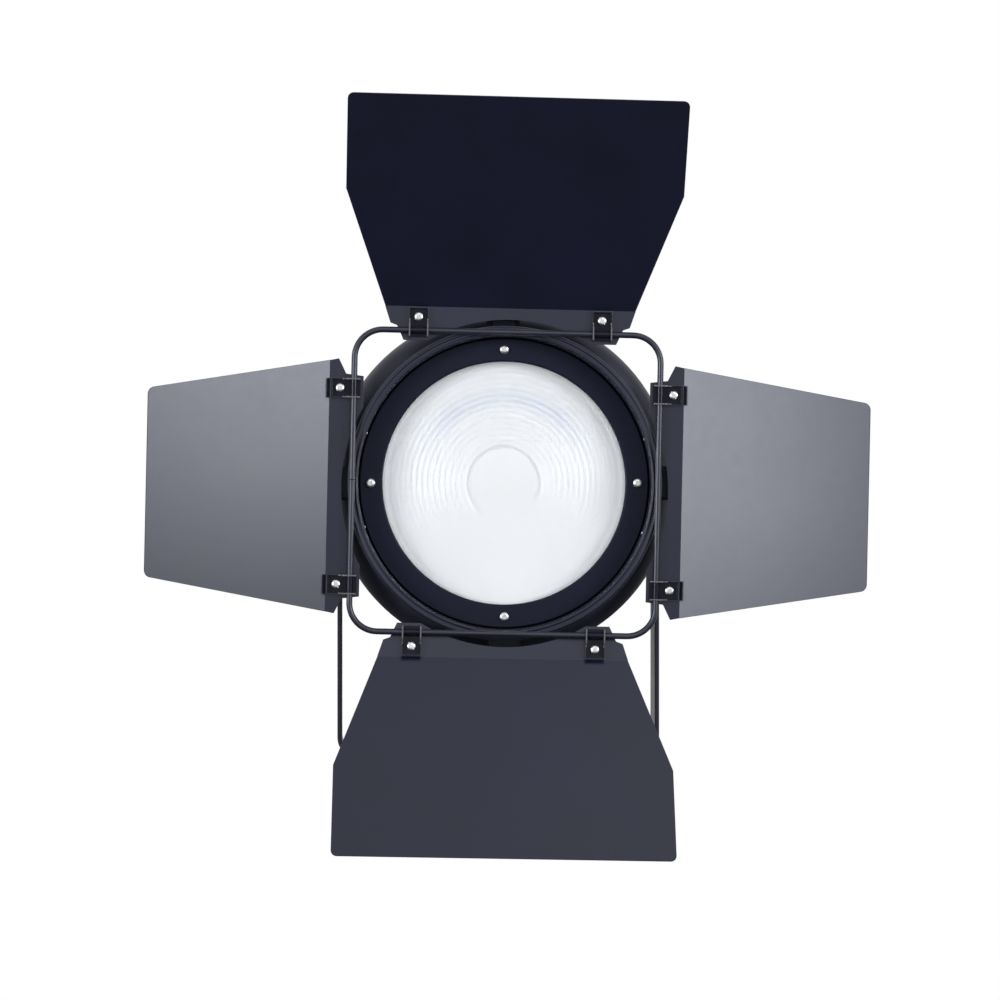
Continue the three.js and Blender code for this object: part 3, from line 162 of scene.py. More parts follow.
# Housing
BARREL_RADIUS = 126 * MM
BARREL_WALL = 3 * MM
FIN_TOP = 131 * MM
FIN_THICKNESS = 2.2 * MM
FIN_COUNT = 40
BARREL_Y = (-77.7 * MM, 119.7 * MM)
BARREL_SLOT_HALF = 52 * MM
BARREL_SLOT_TOP = -75 * MM
BARREL_VENT_X = (-27 * MM, -9 * MM, 9 * MM, 27 * MM)
BARREL_VENT_Y = (-40 * MM, 80 * MM)
BARREL_VENT_HALF = 4.5 * MM
FLAT_X = 125.6 * MM
FLAT_HALF = 33 * MM
BASE_Y = (-60 * MM, 110 * MM)
BASE_HALF = 60 * MM
BASE_BOTTOM = -165 * MM
BASE_WALL = 2.5 * MM
BASE_CORNER = 9 * MM
BASE_SCREW_Y = (-40 * MM, 25 * MM, 90 * MM)
BASE_SCREW_Z = -146 * MM
BASE_SCREW = (3 * MM, 1.4 * MM, 1.4 * MM, 2 * MM)
BASE_SCREW_RECESS = (0.7 * MM, 1.3 * MM)
DRIVE_Z = -84 * MM
BRACKET_HALF = 50 * MM
BRACKET_TOP = -70 * MM
BRACKET = 4 * MM
GUIDE_X = 40 * MM
GUIDE_RADIUS = 4 * MM
GUIDE_Y = (-58.4 * MM, 108.4 * MM)
FOCUS_RADIUS = 5 * MM
FOCUS_END = 160 * MM
VENT_Y = (-58 * MM, 98 * MM)
VENT_HALF = 50 * MM
VENT_TOP = 150 * MM
VENT_WALL = 2.5 * MM
VENT_CHAMFER = 9.5 * MM
VENT_ROUND = 3 * MM
VENT_INNER_ROUND = 2 * MM
VENT_SLOTS = 9
VENT_SLOT = 5 * MM
VENT_SLOT_HALF = 34 * MM
VENT_SLOT_ROUND = 2.4 * MM
CAST_EDGE = 0.6 * MM

# Front bezel
BEZEL_RADIUS = 143.5 * MM
BEZEL_BACK = -78 * MM
BEZEL_RIM = -92 * MM
BEZEL_WALL = 3 * MM
SHOULDER_Y = -113.7 * MM
SHOULDER_RADIUS = 129 * MM
COLLAR_RADIUS = 118.8 * MM
COLLAR_FRONT = -126.8 * MM
COLLAR_BACK = -120 * MM
COLLAR_WALL = 3.3 * MM
BOSS_HALF = 14 * MM
BOSS_REACH = 141.5 * MM
EAR_HALF = 12 * MM
EAR_FOOT = 3.5 * MM
EAR_LIP = 2.5 * MM
EAR_LIP_DEPTH = 10.5 * MM
LIP_REACH = 125.5 * MM
EAR_GAP = 1 * MM
RIVET_RADIUS = 2.6 * MM
RIVET_HEAD = 1.2 * MM
RIVET_AT = (6 * MM, 138.75 * MM)
LATCH_HALF = 9 * MM
LATCH_PIN_RADIUS = 1.6 * MM
LATCH_SLEEVE = 3.4 * MM
LATCH_Z = 137 * MM
LATCH_Y = -118.6 * MM
LATCH_CHEEK = 2 * MM
LATCH_TAB = 13 * MM
LATCH_TAB_SHEET = 2 * MM
LATCH_PIN_PROUD = 0.4 * MM
LATCH_CHEEK_ROUND = 2.4 * MM
LATCH_RIBS = (5.5 * MM, 7.5 * MM, 9.5 * MM)
LATCH_RIB = 0.9 * MM
LATCH_RIB_Y = (-2.8 * MM, -1 * MM)
LATCH_RIB_INSET = 2 * MM

# Glass and lens
GLASS_RADIUS = 104.5 * MM
GLASS = 3 * MM
CLEAR_RADIUS = 100 * MM
RING_RADIUS = 118.5 * MM
RING_Y = (-130.1 * MM, -127.1 * MM)
RING_SCREW_AT = 110 * MM
RING_SCREWS = 4
SCREW_RADIUS = 1.9 * MM
SCREW_HEAD = 4 * MM
SCREW_HEAD_HEIGHT = 2.2 * MM
RING_SCREW_LENGTH = 8.5 * MM
RING_SCREW_TURNS = (20, 57, 94, 131)  # degrees that each recess stopped at
RING_SCREW_RECESS = (1.1 * MM, 1.9 * MM)
RECESS_ARM = 0.4 * MM
RECESS_MIDDLE = 0.9 * MM
RING_LIP = 1.2 * MM
POCKET_LEDGE = 4 * MM
LENS_RADIUS = 103.5 * MM
LENS_Y = (-119.7 * MM, -109.7 * MM)
LENS_RING_BACK = -106.4 * MM
LENS_RING_BORE = 96.5 * MM
LENS_CROWN = 31 * MM
LENS_VALLEY = 3.4 * MM
LENS_CROWN_RISE = 2.6 * MM
LENS_STEP_RISE = (1.3 * MM, 1.6 * MM)
LENS_STEP_CREST = 0.3 * MM
LENS_STEP_GAP = 0.05 * MM

# Barn door
DOOR_RING_Y = (-147.2 * MM, -114 * MM)
DOOR_RING_BORE = 120 * MM
DOOR_RING_RADIUS = 128.5 * MM
DOOR_RING_NECK = 124 * MM
DOOR_RING_BEAD = 8.2 * MM
DOOR_RING_FLANGE = 3.2 * MM
DOOR_RING_DISH = 0.8 * MM
DOOR_RIVET_RADIUS = 1.3 * MM
DOOR_RIVET_BACK = 7 * MM
DOOR_RIVET_TURN = math.radians(18.6)
ROD_RADIUS = 2.5 * MM
ROD_HALF_WIDTH = 125 * MM
ROD_HALF_HEIGHT = 123 * MM
ROD_BEND = 23 * MM
ROD_GAP = 0.8 * MM
ROD_BEND_STEPS = 14
LEAF_FRONT = 4.5 * MM
LEAF_FOLD_AT = 19.5 * MM
LEAF_FOLD_RADIUS = 1 * MM
LEAF_CORNER = 5 * MM
LEAF_RING_CUT = 133.5 * MM
LONG_LEAF = {
    "strip": [(87 * MM, -8 * MM), (92.5 * MM, 4 * MM), (98 * MM, 6 * MM), (102.5 * MM, 19.5 * MM)],
    "panel": [(136 * MM, 100 * MM), (136 * MM, 180 * MM)],
    "clips": 75 * MM,
}
SIDE_LEAF = {
    "strip": [(90 * MM, -8 * MM), (91.7 * MM, 6.3 * MM), (104 * MM, 12.4 * MM), (102.5 * MM, 19.5 * MM)],
    "panel": [(74.5 * MM, 160 * MM)],
    "clips": 80 * MM,
}
LEAVES = {
    "top": {"form": LONG_LEAF, "rest": math.radians(0), "slide": 1.5 * MM},
    "right": {"form": SIDE_LEAF, "rest": math.radians(3), "slide": 5.2 * MM},
    "bottom": {"form": LONG_LEAF, "rest": math.radians(8), "slide": -1.2 * MM},
    "left": {"form": SIDE_LEAF, "rest": math.radians(3), "slide": -5.2 * MM},
}
CLIP_HALF = 8 * MM
CLIP_SHEET = 1.2 * MM
CLIP_INNER = 5.5 * MM
CLIP_OUTER = 18.9 * MM
CLIP_FLOOR = 3 * MM
CLIP_FRONT = -4 * MM
CLIP_LOW_WALL = 3 * MM
CLIP_SCREW_AT = 11.2 * MM
CLIP_FOLD = 1 * MM
CLIP_SLOT_DEPTH = 0.9 * MM
CLIP_SLOT_HALF = 0.45 * MM
CLIP_SLOT_TURN = math.radians(36)
CLIP_SLOT_STEP = 0.3
CLIP_HEAD = 3.9 * MM
NUT_RADIUS = 3.8 * MM
NUT_HEIGHT = 2.6 * MM

# Rear
COVER_Y = (120 * MM, 150 * MM)
COVER_FLAT = 98 * MM
COVER_RIM = 12 * MM
COVER_WALL = 3 * MM
COVER_SLOTS = 6
COVER_SLOT = 4 * MM
COVER_SLOT_PITCH = 9 * MM
COVER_SLOT_START = 24 * MM
COVER_SLOT_HALF = 36 * MM
COVER_SLOT_MIDDLE = 26 * MM
COVER_SLOT_FALL_SHARE = 0.55
COVER_SLOT_ROUND = 1.95 * MM
COVER_SCREW_AT = 91 * MM
COVER_SCREW = (3.4 * MM, 1.6 * MM, 1.5 * MM, 3 * MM)  # head, its height, thread, length
COVER_SCREW_RECESS = (0.8 * MM, 1.5 * MM)
HANDLE_RADIUS = 7 * MM
HANDLE_REACH = 40 * MM
HANDLE_Z = (-24 * MM, 74 * MM)
HANDLE_BEND = 16 * MM
HANDLE_FOOT = 13 * MM
HANDLE_FOOT_THICKNESS = 4 * MM
SWITCH_X = 46 * MM
SWITCH_Z = -62 * MM
SWITCH_HALF_WIDTH = 13 * MM
SWITCH_HALF_HEIGHT = 8 * MM
SWITCH_PROUD = 2.2 * MM
SWITCH_DEPTH = 9 * MM
SWITCH_RISE = 1.12 * MM
SWITCH_HOLE_GAP = 0.6 * MM
SWITCH_FRAME_GAP = 1.4 * MM
SWITCH_FRAME = 3 * MM
SWITCH_FRAME_PROUD = 1.2 * MM
SWITCH_MARK_OUT = 0.35 * MM
ON_MARK_HALF = 0.5 * MM
ON_MARK_Z = (-5.8 * MM, -2.6 * MM)
ON_MARK_DEPTH = 1.7 * MM
OFF_MARK_RADIUS = (1.2 * MM, 2 * MM)
OFF_MARK_Z = 4.4 * MM
OFF_MARK_DEPTH = 2.6 * MM
INLET_Z = -149 * MM
INLET_RADIUS = 13 * MM
INLET_WALL = 2 * MM
INLET_LENGTH = 11 * MM
INLET_FLANGE_HALF = 15 * MM
INLET_FLANGE = 2 * MM
INLET_PINS = 3
INLET_PIN_RADIUS = 1.9 * MM
INLET_PIN_AT = 5.4 * MM
INLET_PIN_SHORT = 2 * MM
FOCUS_KNOB_RADIUS = 19 * MM
FOCUS_KNOB_LENGTH = 20 * MM
FOCUS_KNOB_RIBS = 36
FOCUS_KNOB_RIB = 0.9 * MM
FOCUS_KNOB_PLAIN = 3 * MM
FOCUS_KNOB_DISH = (13 * MM, 12.4 * MM, 0.8 * MM)

# Lamp and its carriage
LAMP_Y = 10 * MM
CARRIAGE_HALF = (50 * MM, 20 * MM, 8 * MM)
POST_HALF = 10 * MM
POST = 4 * MM
MIRROR_RADIUS = 50 * MM
MIRROR_WALL = 1.5 * MM
MIRROR_HALF_ANGLE = math.radians(62)
POST_TOP = -48 * MM
LAMP_SOCKET_HALF = 17 * MM
LAMP_SOCKET_HEIGHT = 14 * MM
LAMP_BASE_RADIUS = 11 * MM
LAMP_BASE_HEIGHT = 17 * MM
LAMP_STEM_RADIUS = 6 * MM
BULB_RADIUS = 13 * MM
BULB_HALF = 19 * MM
BULB_TIP_RADIUS = 5 * MM
BULB_TIP = 35 * MM

# Finishes
PAINT_SHEEN = (0.88, 0.91, 1, 1)
GLASS_BEND = 1.45
# Painted reflection on the lens: the inner and outer reach of a grey-blue band, the heights over which
# it fades in, and its tone
REFLECTION_ARC_IN = (58 * MM, 68 * MM)
REFLECTION_ARC_OUT = (72 * MM, 84 * MM)
REFLECTION_ARC_UP = (10 * MM, 60 * MM)
REFLECTION_ARC_TONE = (0.74, 0.78, 0.86, 1)
FROST_DEPTH = 9 * MM

# Camera, soft lamps and floor
CAMERA_LENS = 109.3
CAMERA_SENSOR = 36
CAMERA_SHIFT = (-0.0041, -0.0169)
CAMERA_REACH = 50
LAMP_SPREAD = math.radians(50)
# Name, place and aim (heights from the beam's), size, and the setting that holds its power
LAMPS = (
    ("left_lamp", (-1.0, -1.0, 0.12), (0.22, -0.2), 0.55, "side_lamps"),
    ("right_lamp", (1.0, -1.0, 0.24), (-0.22, -0.2), 0.55, "side_lamps"),
    ("top_lamp", (0.6, -1.2, 1.2), (0, -0.15), 0.8, "top_lamp"),
    ("front_lamp", (0, -2.2, 1.05), (0, 0), 1.2, "front_lamp"),
)
FLOOR_RADIUS = 4
FLOOR_Z = -1


class StageLightSizes(bpy.types.PropertyGroup):
    """Sizes of the fine pieces that the frame leaves open"""

    edge_round: FloatProperty(
        name="Edge round", description="Rounding of machined edges", default=0.4 * MM,
        min=0.05 * MM, max=1 * MM, unit="LENGTH", precision=5,
    )
    sheet_round: FloatProperty(
        name="Sheet edge round", description="Rounding of sheet metal edges", default=0.25 * MM,
        min=0.05 * MM, max=0.5 * MM, unit="LENGTH", precision=5,
    )
    turn_steps: IntProperty(
        name="Turning steps", description="Facets round a large turned piece", default=160,
        min=32, max=256,
    )
    small_steps: IntProperty(
        name="Small turning steps", description="Facets round bolts, knobs and rods", default=48,
        min=16, max=96,
    )
    leaf_sheet: FloatProperty(
        name="Leaf sheet", description="Thickness of the barn door's leaves", default=1.2 * MM,
        min=0.5 * MM, max=2 * MM, unit="LENGTH", precision=5,
    )
    leaf_fold: FloatProperty(
        name="Leaf fold", description="Angle between a leaf's strip and its panel",
        default=math.radians(25), min=0.0, max=math.radians(60), subtype="ANGLE",
    )
    lens_steps: IntProperty(
        name="Lens steps", description="Rings of the stepped lens", default=14, min=4, max=40,
    )


def base_colour(name, description, default):
    """A property that holds the base colour of a finish."""
    return FloatVectorProperty(
        name=name, description=description, default=default, subtype="COLOR", min=0.0, max=1.0
    )


class StageLightColours(bpy.types.PropertyGroup):
    """Base colours of the finishes"""

    housing: base_colour(
        "Housing", "Satin enamel of the cast and extruded parts", (0.006, 0.007, 0.018)
    )
    leaf: base_colour("Leaves", "Satin paint of the barn door's leaves", (0.003, 0.004, 0.016))
    matt: base_colour("Filter ring", "Matt black of the filter ring", (0.003, 0.004, 0.014))
    rod: base_colour("Hinge rod", "Satin paint of the hinge frame", (0.012, 0.013, 0.024))
    yoke: base_colour("Yoke", "Powder coat of the yoke", (0.007, 0.008, 0.018))
    steel: base_colour("Bare steel", "Zinc-plated screws and bolts", (0.62, 0.63, 0.66))
    dark_steel: base_colour("Blackened steel", "Hinge clips and brackets", (0.007, 0.008, 0.018))
    # Lighter grey for the hinge clips' marked faces: a painted highlight on their end walls, and worn
    # bare metal with a painted highlight on their rims
    clip_wear_and_highlight: base_colour("Wear and highlight", "Hinge clips' end walls and rims: painted highlight, partly worn bare metal", (0.16, 0.165, 0.18))
    aluminium: base_colour("Aluminium", "Machined rings and the lamp carriage", (0.60, 0.61, 0.63))
    lens: base_colour("Lens", "Frosted glass of the stepped lens", (0.95, 0.955, 0.97))
    ceramic: base_colour("Ceramic", "Lamp socket", (0.76, 0.72, 0.64))
    plastic: base_colour("Black plastic", "Knobs, handle, switch and inlet", (0.012, 0.012, 0.013))


class StageLightStudio(bpy.types.PropertyGroup):
    """Camera and lamps"""

    distance: FloatProperty(
        name="Camera distance", description="From the filter glass to the camera", default=2.5,
        min=0.5, unit="LENGTH",
    )
    azimuth: FloatProperty(
        name="Camera azimuth", description="Turn of the camera round the light",
        default=math.radians(-2.5), subtype="ANGLE",
    )
    side_lamps: FloatProperty(
        name="Side lamps", description="Power of each of the two side soft boxes in watts",
        default=1.3, min=0.0,
    )
    top_lamp: FloatProperty(
        name="Top lamp", description="Power of the soft box over the light in watts",
        default=0.14, min=0.0,
    )
    front_lamp: FloatProperty(
        name="Front lamp", description="Power of the soft box over the camera in watts",
        default=0.6, min=0.0,
    )
    ambient: FloatProperty(
        name="Ambient", description="Strength of the even light from all round", default=0.12,
        min=0.0, max=1.0,
    )


def sizes():
    return bpy.context.scene.stage_light_sizes


def colours():
    return bpy.context.scene.stage_light_colours


def studio():
    return bpy.context.scene.stage_light_studio


# Shapes


def rounded(bm, geom, width, segments, affect="EDGES"):
    """Rounds the given edges, or the given corners of a wire."""
    bmesh.ops.bevel(
        bm, geom=geom, offset=width, offset_type="OFFSET", affect=affect,
        segments=segments, profile=0.5, material=-1,
    )


def wire(corners, closed=True, upright=True, steps=5):
    """A wire through (a, b, rounding) corners: upright in the XZ plane, or flat in the XY plane."""
    bm = bmesh.new()
    verts = [bm.verts.new((a, 0, b) if upright else (a, b, 0)) for a, b, *_ in corners]
    following = verts[1:] + verts[:1] if closed else verts[1:]
    for pair in zip(verts, following):
        bm.edges.new(pair)
    for vert, corner in zip(verts, corners):
        if len(corner) > 2:
            rounded(bm, [vert], corner[2], steps, "VERTICES")
    return bm


def tidy(bm):
    """Merges doubles and turns the faces outward."""
    bmesh.ops.remove_doubles(bm, verts=bm.verts[:], dist=WELD)
    bmesh.ops.dissolve_degenerate(bm, dist=WELD, edges=bm.edges[:])
    bmesh.ops.recalc_face_normals(bm, faces=bm.faces[:])
    return bm


def moved(bm, *matrices):
    """The same body, moved by matrices, the last of them first."""
    for matrix in reversed(matrices):
        bmesh.ops.transform(bm, matrix=matrix, verts=bm.verts[:])
    return bm


def at(x, y, z):
    return Matrix.Translation((x, y, z))


def about_beam(angle):
    return Matrix.Rotation(angle, 4, "Y")


# A body whose length runs along Y, laid along another axis
ALONG_X = Matrix.Rotation(-QUARTER, 4, "Z")
ALONG_Z = Matrix.Rotation(QUARTER, 4, "X")
# A plate in the XZ plane, turned so that its first axis is Y
SIDEWAYS = Matrix.Rotation(QUARTER, 4, "Z")


def lathe(corners, closed=False, steps=None):
    """A body turned about Y from (radius, place, rounding) corners."""
    bm = wire(corners, closed, upright=False)
    bmesh.ops.spin(
        bm, geom=bm.verts[:] + bm.edges[:], cent=(0, 0, 0), axis=Y_AXIS, dvec=(0, 0, 0),
        angle=FULL_TURN, steps=steps or sizes().turn_steps, use_merge=True,
    )
    return tidy(bm)


def pin(radius, low, high, round_low=None, round_high=None, steps=None):
    """A round bar along Y with rounded ends."""
    edge = sizes().edge_round
    corners = [
        (0, low), (radius, low, round_low or edge), (radius, high, round_high or edge), (0, high)
    ]
    return lathe(corners, steps=steps or sizes().small_steps)


def drill(radius, low, high, steps=None):
    """A plain round cutter along Y."""
    corners = [(0, low), (radius, low), (radius, high), (0, high)]
    return lathe(corners, steps=steps or sizes().small_steps)


def soften(bm, width, least_angle=math.radians(32), segments=2, test=None):
    """Rounds sharp edges, or those whose two ends both pass a test."""
    edges = [e for e in bm.edges if e.is_manifold and e.calc_face_angle(0) > least_angle]
    if test:
        edges = [e for e in edges if all(test(v.co) for v in e.verts)]
    rounded(bm, edges, width, segments)
    return bm


def plate(corners, low, high, edge=0.0, steps=5):
    """A plate in the XZ plane, between two places along Y."""
    bm = wire(corners, steps=steps)
    bmesh.ops.contextual_create(bm, geom=bm.edges[:])
    bmesh.ops.translate(bm, vec=Y_AXIS * low, verts=bm.verts[:])
    made = bmesh.ops.extrude_face_region(bm, geom=bm.faces[:])
    lifted = [v for v in made["geom"] if isinstance(v, bmesh.types.BMVert)]
    bmesh.ops.translate(bm, vec=Y_AXIS * (high - low), verts=lifted)
    tidy(bm)
    return soften(bm, edge) if edge else bm


def block(x, y, z, edge=0.0):
    """A box between (low, high) places along X, Y and Z."""
    bm = bmesh.new()
    size = [abs(pair[1] - pair[0]) for pair in (x, y, z)]
    bmesh.ops.create_cube(bm, size=1, matrix=at(*map(middle, (x, y, z))) @ Matrix.Diagonal((*size, 1)))
    return soften(bm, edge) if edge else bm


def mirrored(corners):
    """Corners of an outline alike on both sides of zero, from those on its positive side."""
    return [*corners, *[(-c[0], *c[1:]) for c in reversed(corners)]]


def rectangle(half, low, high, *rounding):
    """A rectangle's corners, alike on both sides of zero, between a low and a high place."""
    return mirrored([(half, low, *rounding), (half, high, *rounding)])


def drawn(bm, end, step, widen=1.0):
    """Draws an end face out by a step and widens it along X; returns the new end face."""
    inside = any(len(e.link_faces) > 1 for e in end.edges)
    made = bmesh.ops.extrude_face_region(bm, geom=[end])["geom"]
    if inside:
        bmesh.ops.delete(bm, geom=[end], context="FACES_ONLY")
    verts = [v for v in made if isinstance(v, bmesh.types.BMVert)]
    bmesh.ops.translate(bm, vec=step, verts=verts)
    bmesh.ops.scale(bm, vec=(widen, 1, 1), verts=verts)
    return next(f for f in made if isinstance(f, bmesh.types.BMFace))


def swept(bm, end, centre, axis, angle, steps):
    """Bends an end face round a centre; returns the new end face."""
    geometry = [end, *end.verts, *end.edges]
    made = bmesh.ops.spin(
        bm, geom=geometry, cent=centre, axis=axis, dvec=(0, 0, 0), angle=angle, steps=steps
    )
    return next(g for g in made["geom_last"] if isinstance(g, bmesh.types.BMFace))


def bent_rod(radius, start, direction, moves, steps=None):
    """A round rod from a start, along lines given by a step and bends given by centre, axis, angle."""
    bm = bmesh.new()
    upright = Vector(direction).to_track_quat("Z", "Y").to_matrix().to_4x4()
    bmesh.ops.create_circle(
        bm, cap_ends=True, radius=radius, segments=steps or sizes().small_steps,
        matrix=at(*start) @ upright,
    )
    end = bm.faces[:][0]
    for move in moves:
        end = drawn(bm, end, move[0]) if len(move) == 1 else swept(bm, end, *move)
    return tidy(bm)


def around(bm, count):
    """Repeats a body round the beam axis."""
    everything = bm.verts[:] + bm.edges[:] + bm.faces[:]
    bmesh.ops.spin(
        bm, geom=everything, cent=(0, 0, 0), axis=Y_AXIS, dvec=(0, 0, 0),
        angle=FULL_TURN * (count - 1) / count, steps=count - 1, use_duplicate=True,
    )
    return bm


def together(*bodies):
    """Several separate bodies in one bmesh."""
    bm = bmesh.new()
    for body in bodies:
        mesh = bpy.data.meshes.new("passing")
        body.to_mesh(mesh)
        body.free()
        bm.from_mesh(mesh)
        bpy.data.meshes.remove(mesh)
    return bm


def blank_object(bm):
    """A passing object that the shaping modifiers can work on."""
    mesh = bpy.data.meshes.new("blank")
    bm.to_mesh(mesh)
    bm.free()
    blank = bpy.data.objects.new("blank", mesh)
    bpy.context.scene.collection.objects.link(blank)
    return blank


def shaped(bm, how, *tools):
    """A body cut by other bodies, joined with them or kept inside them."""
    blank = blank_object(bm)
    others = [blank_object(tool) for tool in tools]
    for other in others:
        modifier = blank.modifiers.new("shape", "BOOLEAN")
        modifier.operation = how
        modifier.solver = "EXACT"
        modifier.object = other
    graph = bpy.context.evaluated_depsgraph_get()
    result = bmesh.new()
    result.from_mesh(blank.evaluated_get(graph).to_mesh())
    for item in (blank, *others):
        mesh = item.data
        bpy.data.objects.remove(item)
        bpy.data.meshes.remove(mesh)
    bmesh.ops.remove_doubles(result, verts=result.verts[:], dist=WELD)
    bmesh.ops.dissolve_degenerate(result, dist=WELD, edges=result.edges[:])
    return result


def cut(bm, *tools):
    return shaped(bm, "DIFFERENCE", *tools)


def join(bm, *tools):
    return shaped(bm, "UNION", *tools)


def add_piece(name, bm, node, place, finish=None, stands_for=None):
    """Makes a finished piece: it rides with a node's body, and stands for it or the given nodes."""
    if not bm.faces:
        raise RuntimeError(f"{name} came out empty")
    moved(bm, place)
    mesh = bpy.data.meshes.new(name)
    bm.to_mesh(mesh)
    bm.free()
    mesh.shade_smooth()
    mesh.set_sharp_from_angle(angle=math.radians(35))
    piece = bpy.data.objects.new(name, mesh)
    bpy.context.scene.collection.objects.link(piece)
    weight = piece.modifiers.new("even_faces", "WEIGHTED_NORMAL")
    weight.keep_sharp = True
    slot = finish or SLOT_OF[node]
    mesh.materials.append(finish_of(slot))
    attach(piece, frame["nodes"][node]["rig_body"])
    replaced = [node] if stands_for is None else stands_for
    if replaced:
        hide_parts(*replaced)


def add_fine(node, bm, place=HEAD):
    """A fine piece that stands for its node."""
    add_piece(f"fine_{node}", bm, node, place)


def add_trim(name, bm, node, finish, place=HEAD):
    """A small piece that only the scene has; it rides with a node and stands for none."""
    add_piece(name, bm, node, place, finish, stands_for=[])


# Finishes


def new_finish(name):
    material = bpy.data.materials.new(name)
    material.use_nodes = True
    tree = material.node_tree
    return material, tree, tree.nodes["Principled BSDF"]


def fed(tree, socket, value):
    """Gives a socket a value, or links another node's output to it."""
    if isinstance(value, bpy.types.NodeSocket):
        tree.links.new(value, socket)
    else:
        socket.default_value = value


def node(tree, kind, inputs=None, **settings):
    """A shader node with its settings and inputs."""
    made = tree.nodes.new("ShaderNode" + kind)
    for key, value in settings.items():
        setattr(made, key, value)
    for key, value in (inputs or {}).items():
        fed(tree, made.inputs[key], value)
    return made


def object_place(tree, stretch=(1, 1, 1), shift=(0, 0, 0)):
    """Object coordinates, stretched along the axes or shifted."""
    place = node(tree, "TexCoord").outputs["Object"]
    return node(tree, "Mapping", {"Vector": place, "Scale": stretch, "Location": shift}).outputs[0]


def noise(tree, place, scale, detail=2.0, roughness=0.5):
    """A noise whose marks are about 1 / scale metres across."""
    inputs = {"Vector": place, "Scale": scale, "Detail": detail, "Roughness": roughness}
    return node(tree, "TexNoise", inputs).outputs[0]


def spread(tree, value, low, high, start=0.3, end=0.7):
    """Maps a value from start..end to low..high."""
    inputs = {"Value": value, "From Min": start, "From Max": end, "To Min": low, "To Max": high}
    return node(tree, "MapRange", inputs).outputs[0]


def sum_of(tree, how, first, second):
    """Two values put together by a math node."""
    return node(tree, "Math", {0: first, 1: second}, operation=how).outputs[0]


def blend(tree, share, first, second):
    """A colour between two colours."""
    made = node(tree, "Mix", data_type="RGBA")
    for place, value in ((0, share), (6, first), (7, second)):
        fed(tree, made.inputs[place], value)
    return made.outputs[2]


def bump(tree, height, strength, distance):
    inputs = {"Height": height, "Strength": strength, "Distance": distance}
    return node(tree, "Bump", inputs).outputs[0]


def tone_of(colour, factor=1.0):
    """A colour made lighter or darker, with its alpha."""
    return (*[min(1.0, part * factor) for part in colour], 1.0)


def paint(name, colour, roughness, grain_scale, grain_height, swing=0.045, shine=0.5, rub=(1, 1, 1)):
    """A black paint with fine grain, an uneven gloss and faint rubbed marks.

    The gloss swings about its roughness, and rub stretches the marks along an axis.
    """
    material, tree, shader = new_finish(name)
    place = object_place(tree)
    broad = noise(tree, place, 14, 3)
    small = noise(tree, place, 130, 4, 0.6)
    grain = noise(tree, place, grain_scale, 1)
    rubbed = noise(tree, object_place(tree, rub), 60, 5, 0.7)
    tone = blend(tree, spread(tree, broad, 0, 1), tone_of(colour, 0.8), tone_of(colour, 1.25))
    marks = spread(tree, rubbed, 0, 0.3, 0.6, 0.85)
    fed(tree, shader.inputs["Base Color"], blend(tree, marks, tone, tone_of(colour, 3)))
    mixed = sum_of(tree, "ADD", broad, small)
    rough = spread(tree, mixed, roughness - swing, roughness + swing, 0.7, 1.3)
    fed(tree, shader.inputs["Roughness"], rough)
    fed(tree, shader.inputs["Normal"], bump(tree, grain, 0.35, grain_height))
    shader.inputs["Specular IOR Level"].default_value = shine
    shader.inputs["Specular Tint"].default_value = PAINT_SHEEN
    return material


def plated(name, colour, roughness, lines=(1, 1, 1)):
    """A bare or plated metal with fine tool lines and dull spots."""
    material, tree, shader = new_finish(name)
    dull = noise(tree, object_place(tree), 240, 4, 0.65)
    fine = noise(tree, object_place(tree, lines), 1400, 2)
    tone = blend(tree, spread(tree, dull, 0, 1), tone_of(colour, 0.72), tone_of(colour, 1.08))
    fed(tree, shader.inputs["Base Color"], tone)
    rough = spread(tree, dull, roughness + 0.12, roughness - 0.05)
    fed(tree, shader.inputs["Roughness"], rough)
    fed(tree, shader.inputs["Normal"], bump(tree, fine, 0.25, 0.02 * MM))
    shader.inputs["Metallic"].default_value = 1.0
    return material


def blackened_steel():
    """Glossy blackened sheet with a few worn specks, and a lighter grey on the marked faces: a painted
    highlight on the hinge clips' end walls, and worn bare metal with a painted highlight on their rims.
    """
    material, tree, shader = new_finish("blackened_steel")
    place = object_place(tree)
    worn = noise(tree, place, 420, 4, 0.7)
    grain = noise(tree, place, 1500, 1)
    specks = spread(tree, worn, 0, 0.5, 0.68, 0.8)
    tone = blend(tree, specks, tone_of(colours().dark_steel), tone_of(colours().dark_steel, 10))
    # The marked faces take a lighter grey: painted highlight on the clips' end walls, worn bare metal
    # with painted highlight on their rims
    edge = node(tree, "Attribute", attribute_name="bare_edge").outputs["Fac"]
    edge = sum_of(tree, "MULTIPLY", edge, spread(tree, grain, 0.7, 1))
    tone = blend(tree, edge, tone, tone_of(colours().clip_wear_and_highlight))
    fed(tree, shader.inputs["Base Color"], tone)
    fed(tree, shader.inputs["Roughness"], spread(tree, worn, 0.12, 0.26))
    fed(tree, shader.inputs["Normal"], bump(tree, grain, 0.2, 0.02 * MM))
    shader.inputs["Specular IOR Level"].default_value = 0.14
    return material


def moulded(name, colour, roughness, pit_scale, pit_depth):
    """A moulded plastic with a fine pitted texture."""
    material, tree, shader = new_finish(name)
    place = object_place(tree)
    broad = noise(tree, place, 30, 3)
    pits = node(tree, "TexVoronoi", {"Vector": place, "Scale": pit_scale}).outputs["Distance"]
    tone = blend(tree, spread(tree, broad, 0, 1), tone_of(colour, 0.8), tone_of(colour, 1.4))
    fed(tree, shader.inputs["Base Color"], tone)
    rough = spread(tree, broad, roughness - 0.06, roughness + 0.08)
    fed(tree, shader.inputs["Roughness"], rough)
    fed(tree, shader.inputs["Normal"], bump(tree, pits, 0.3, pit_depth))
    return material


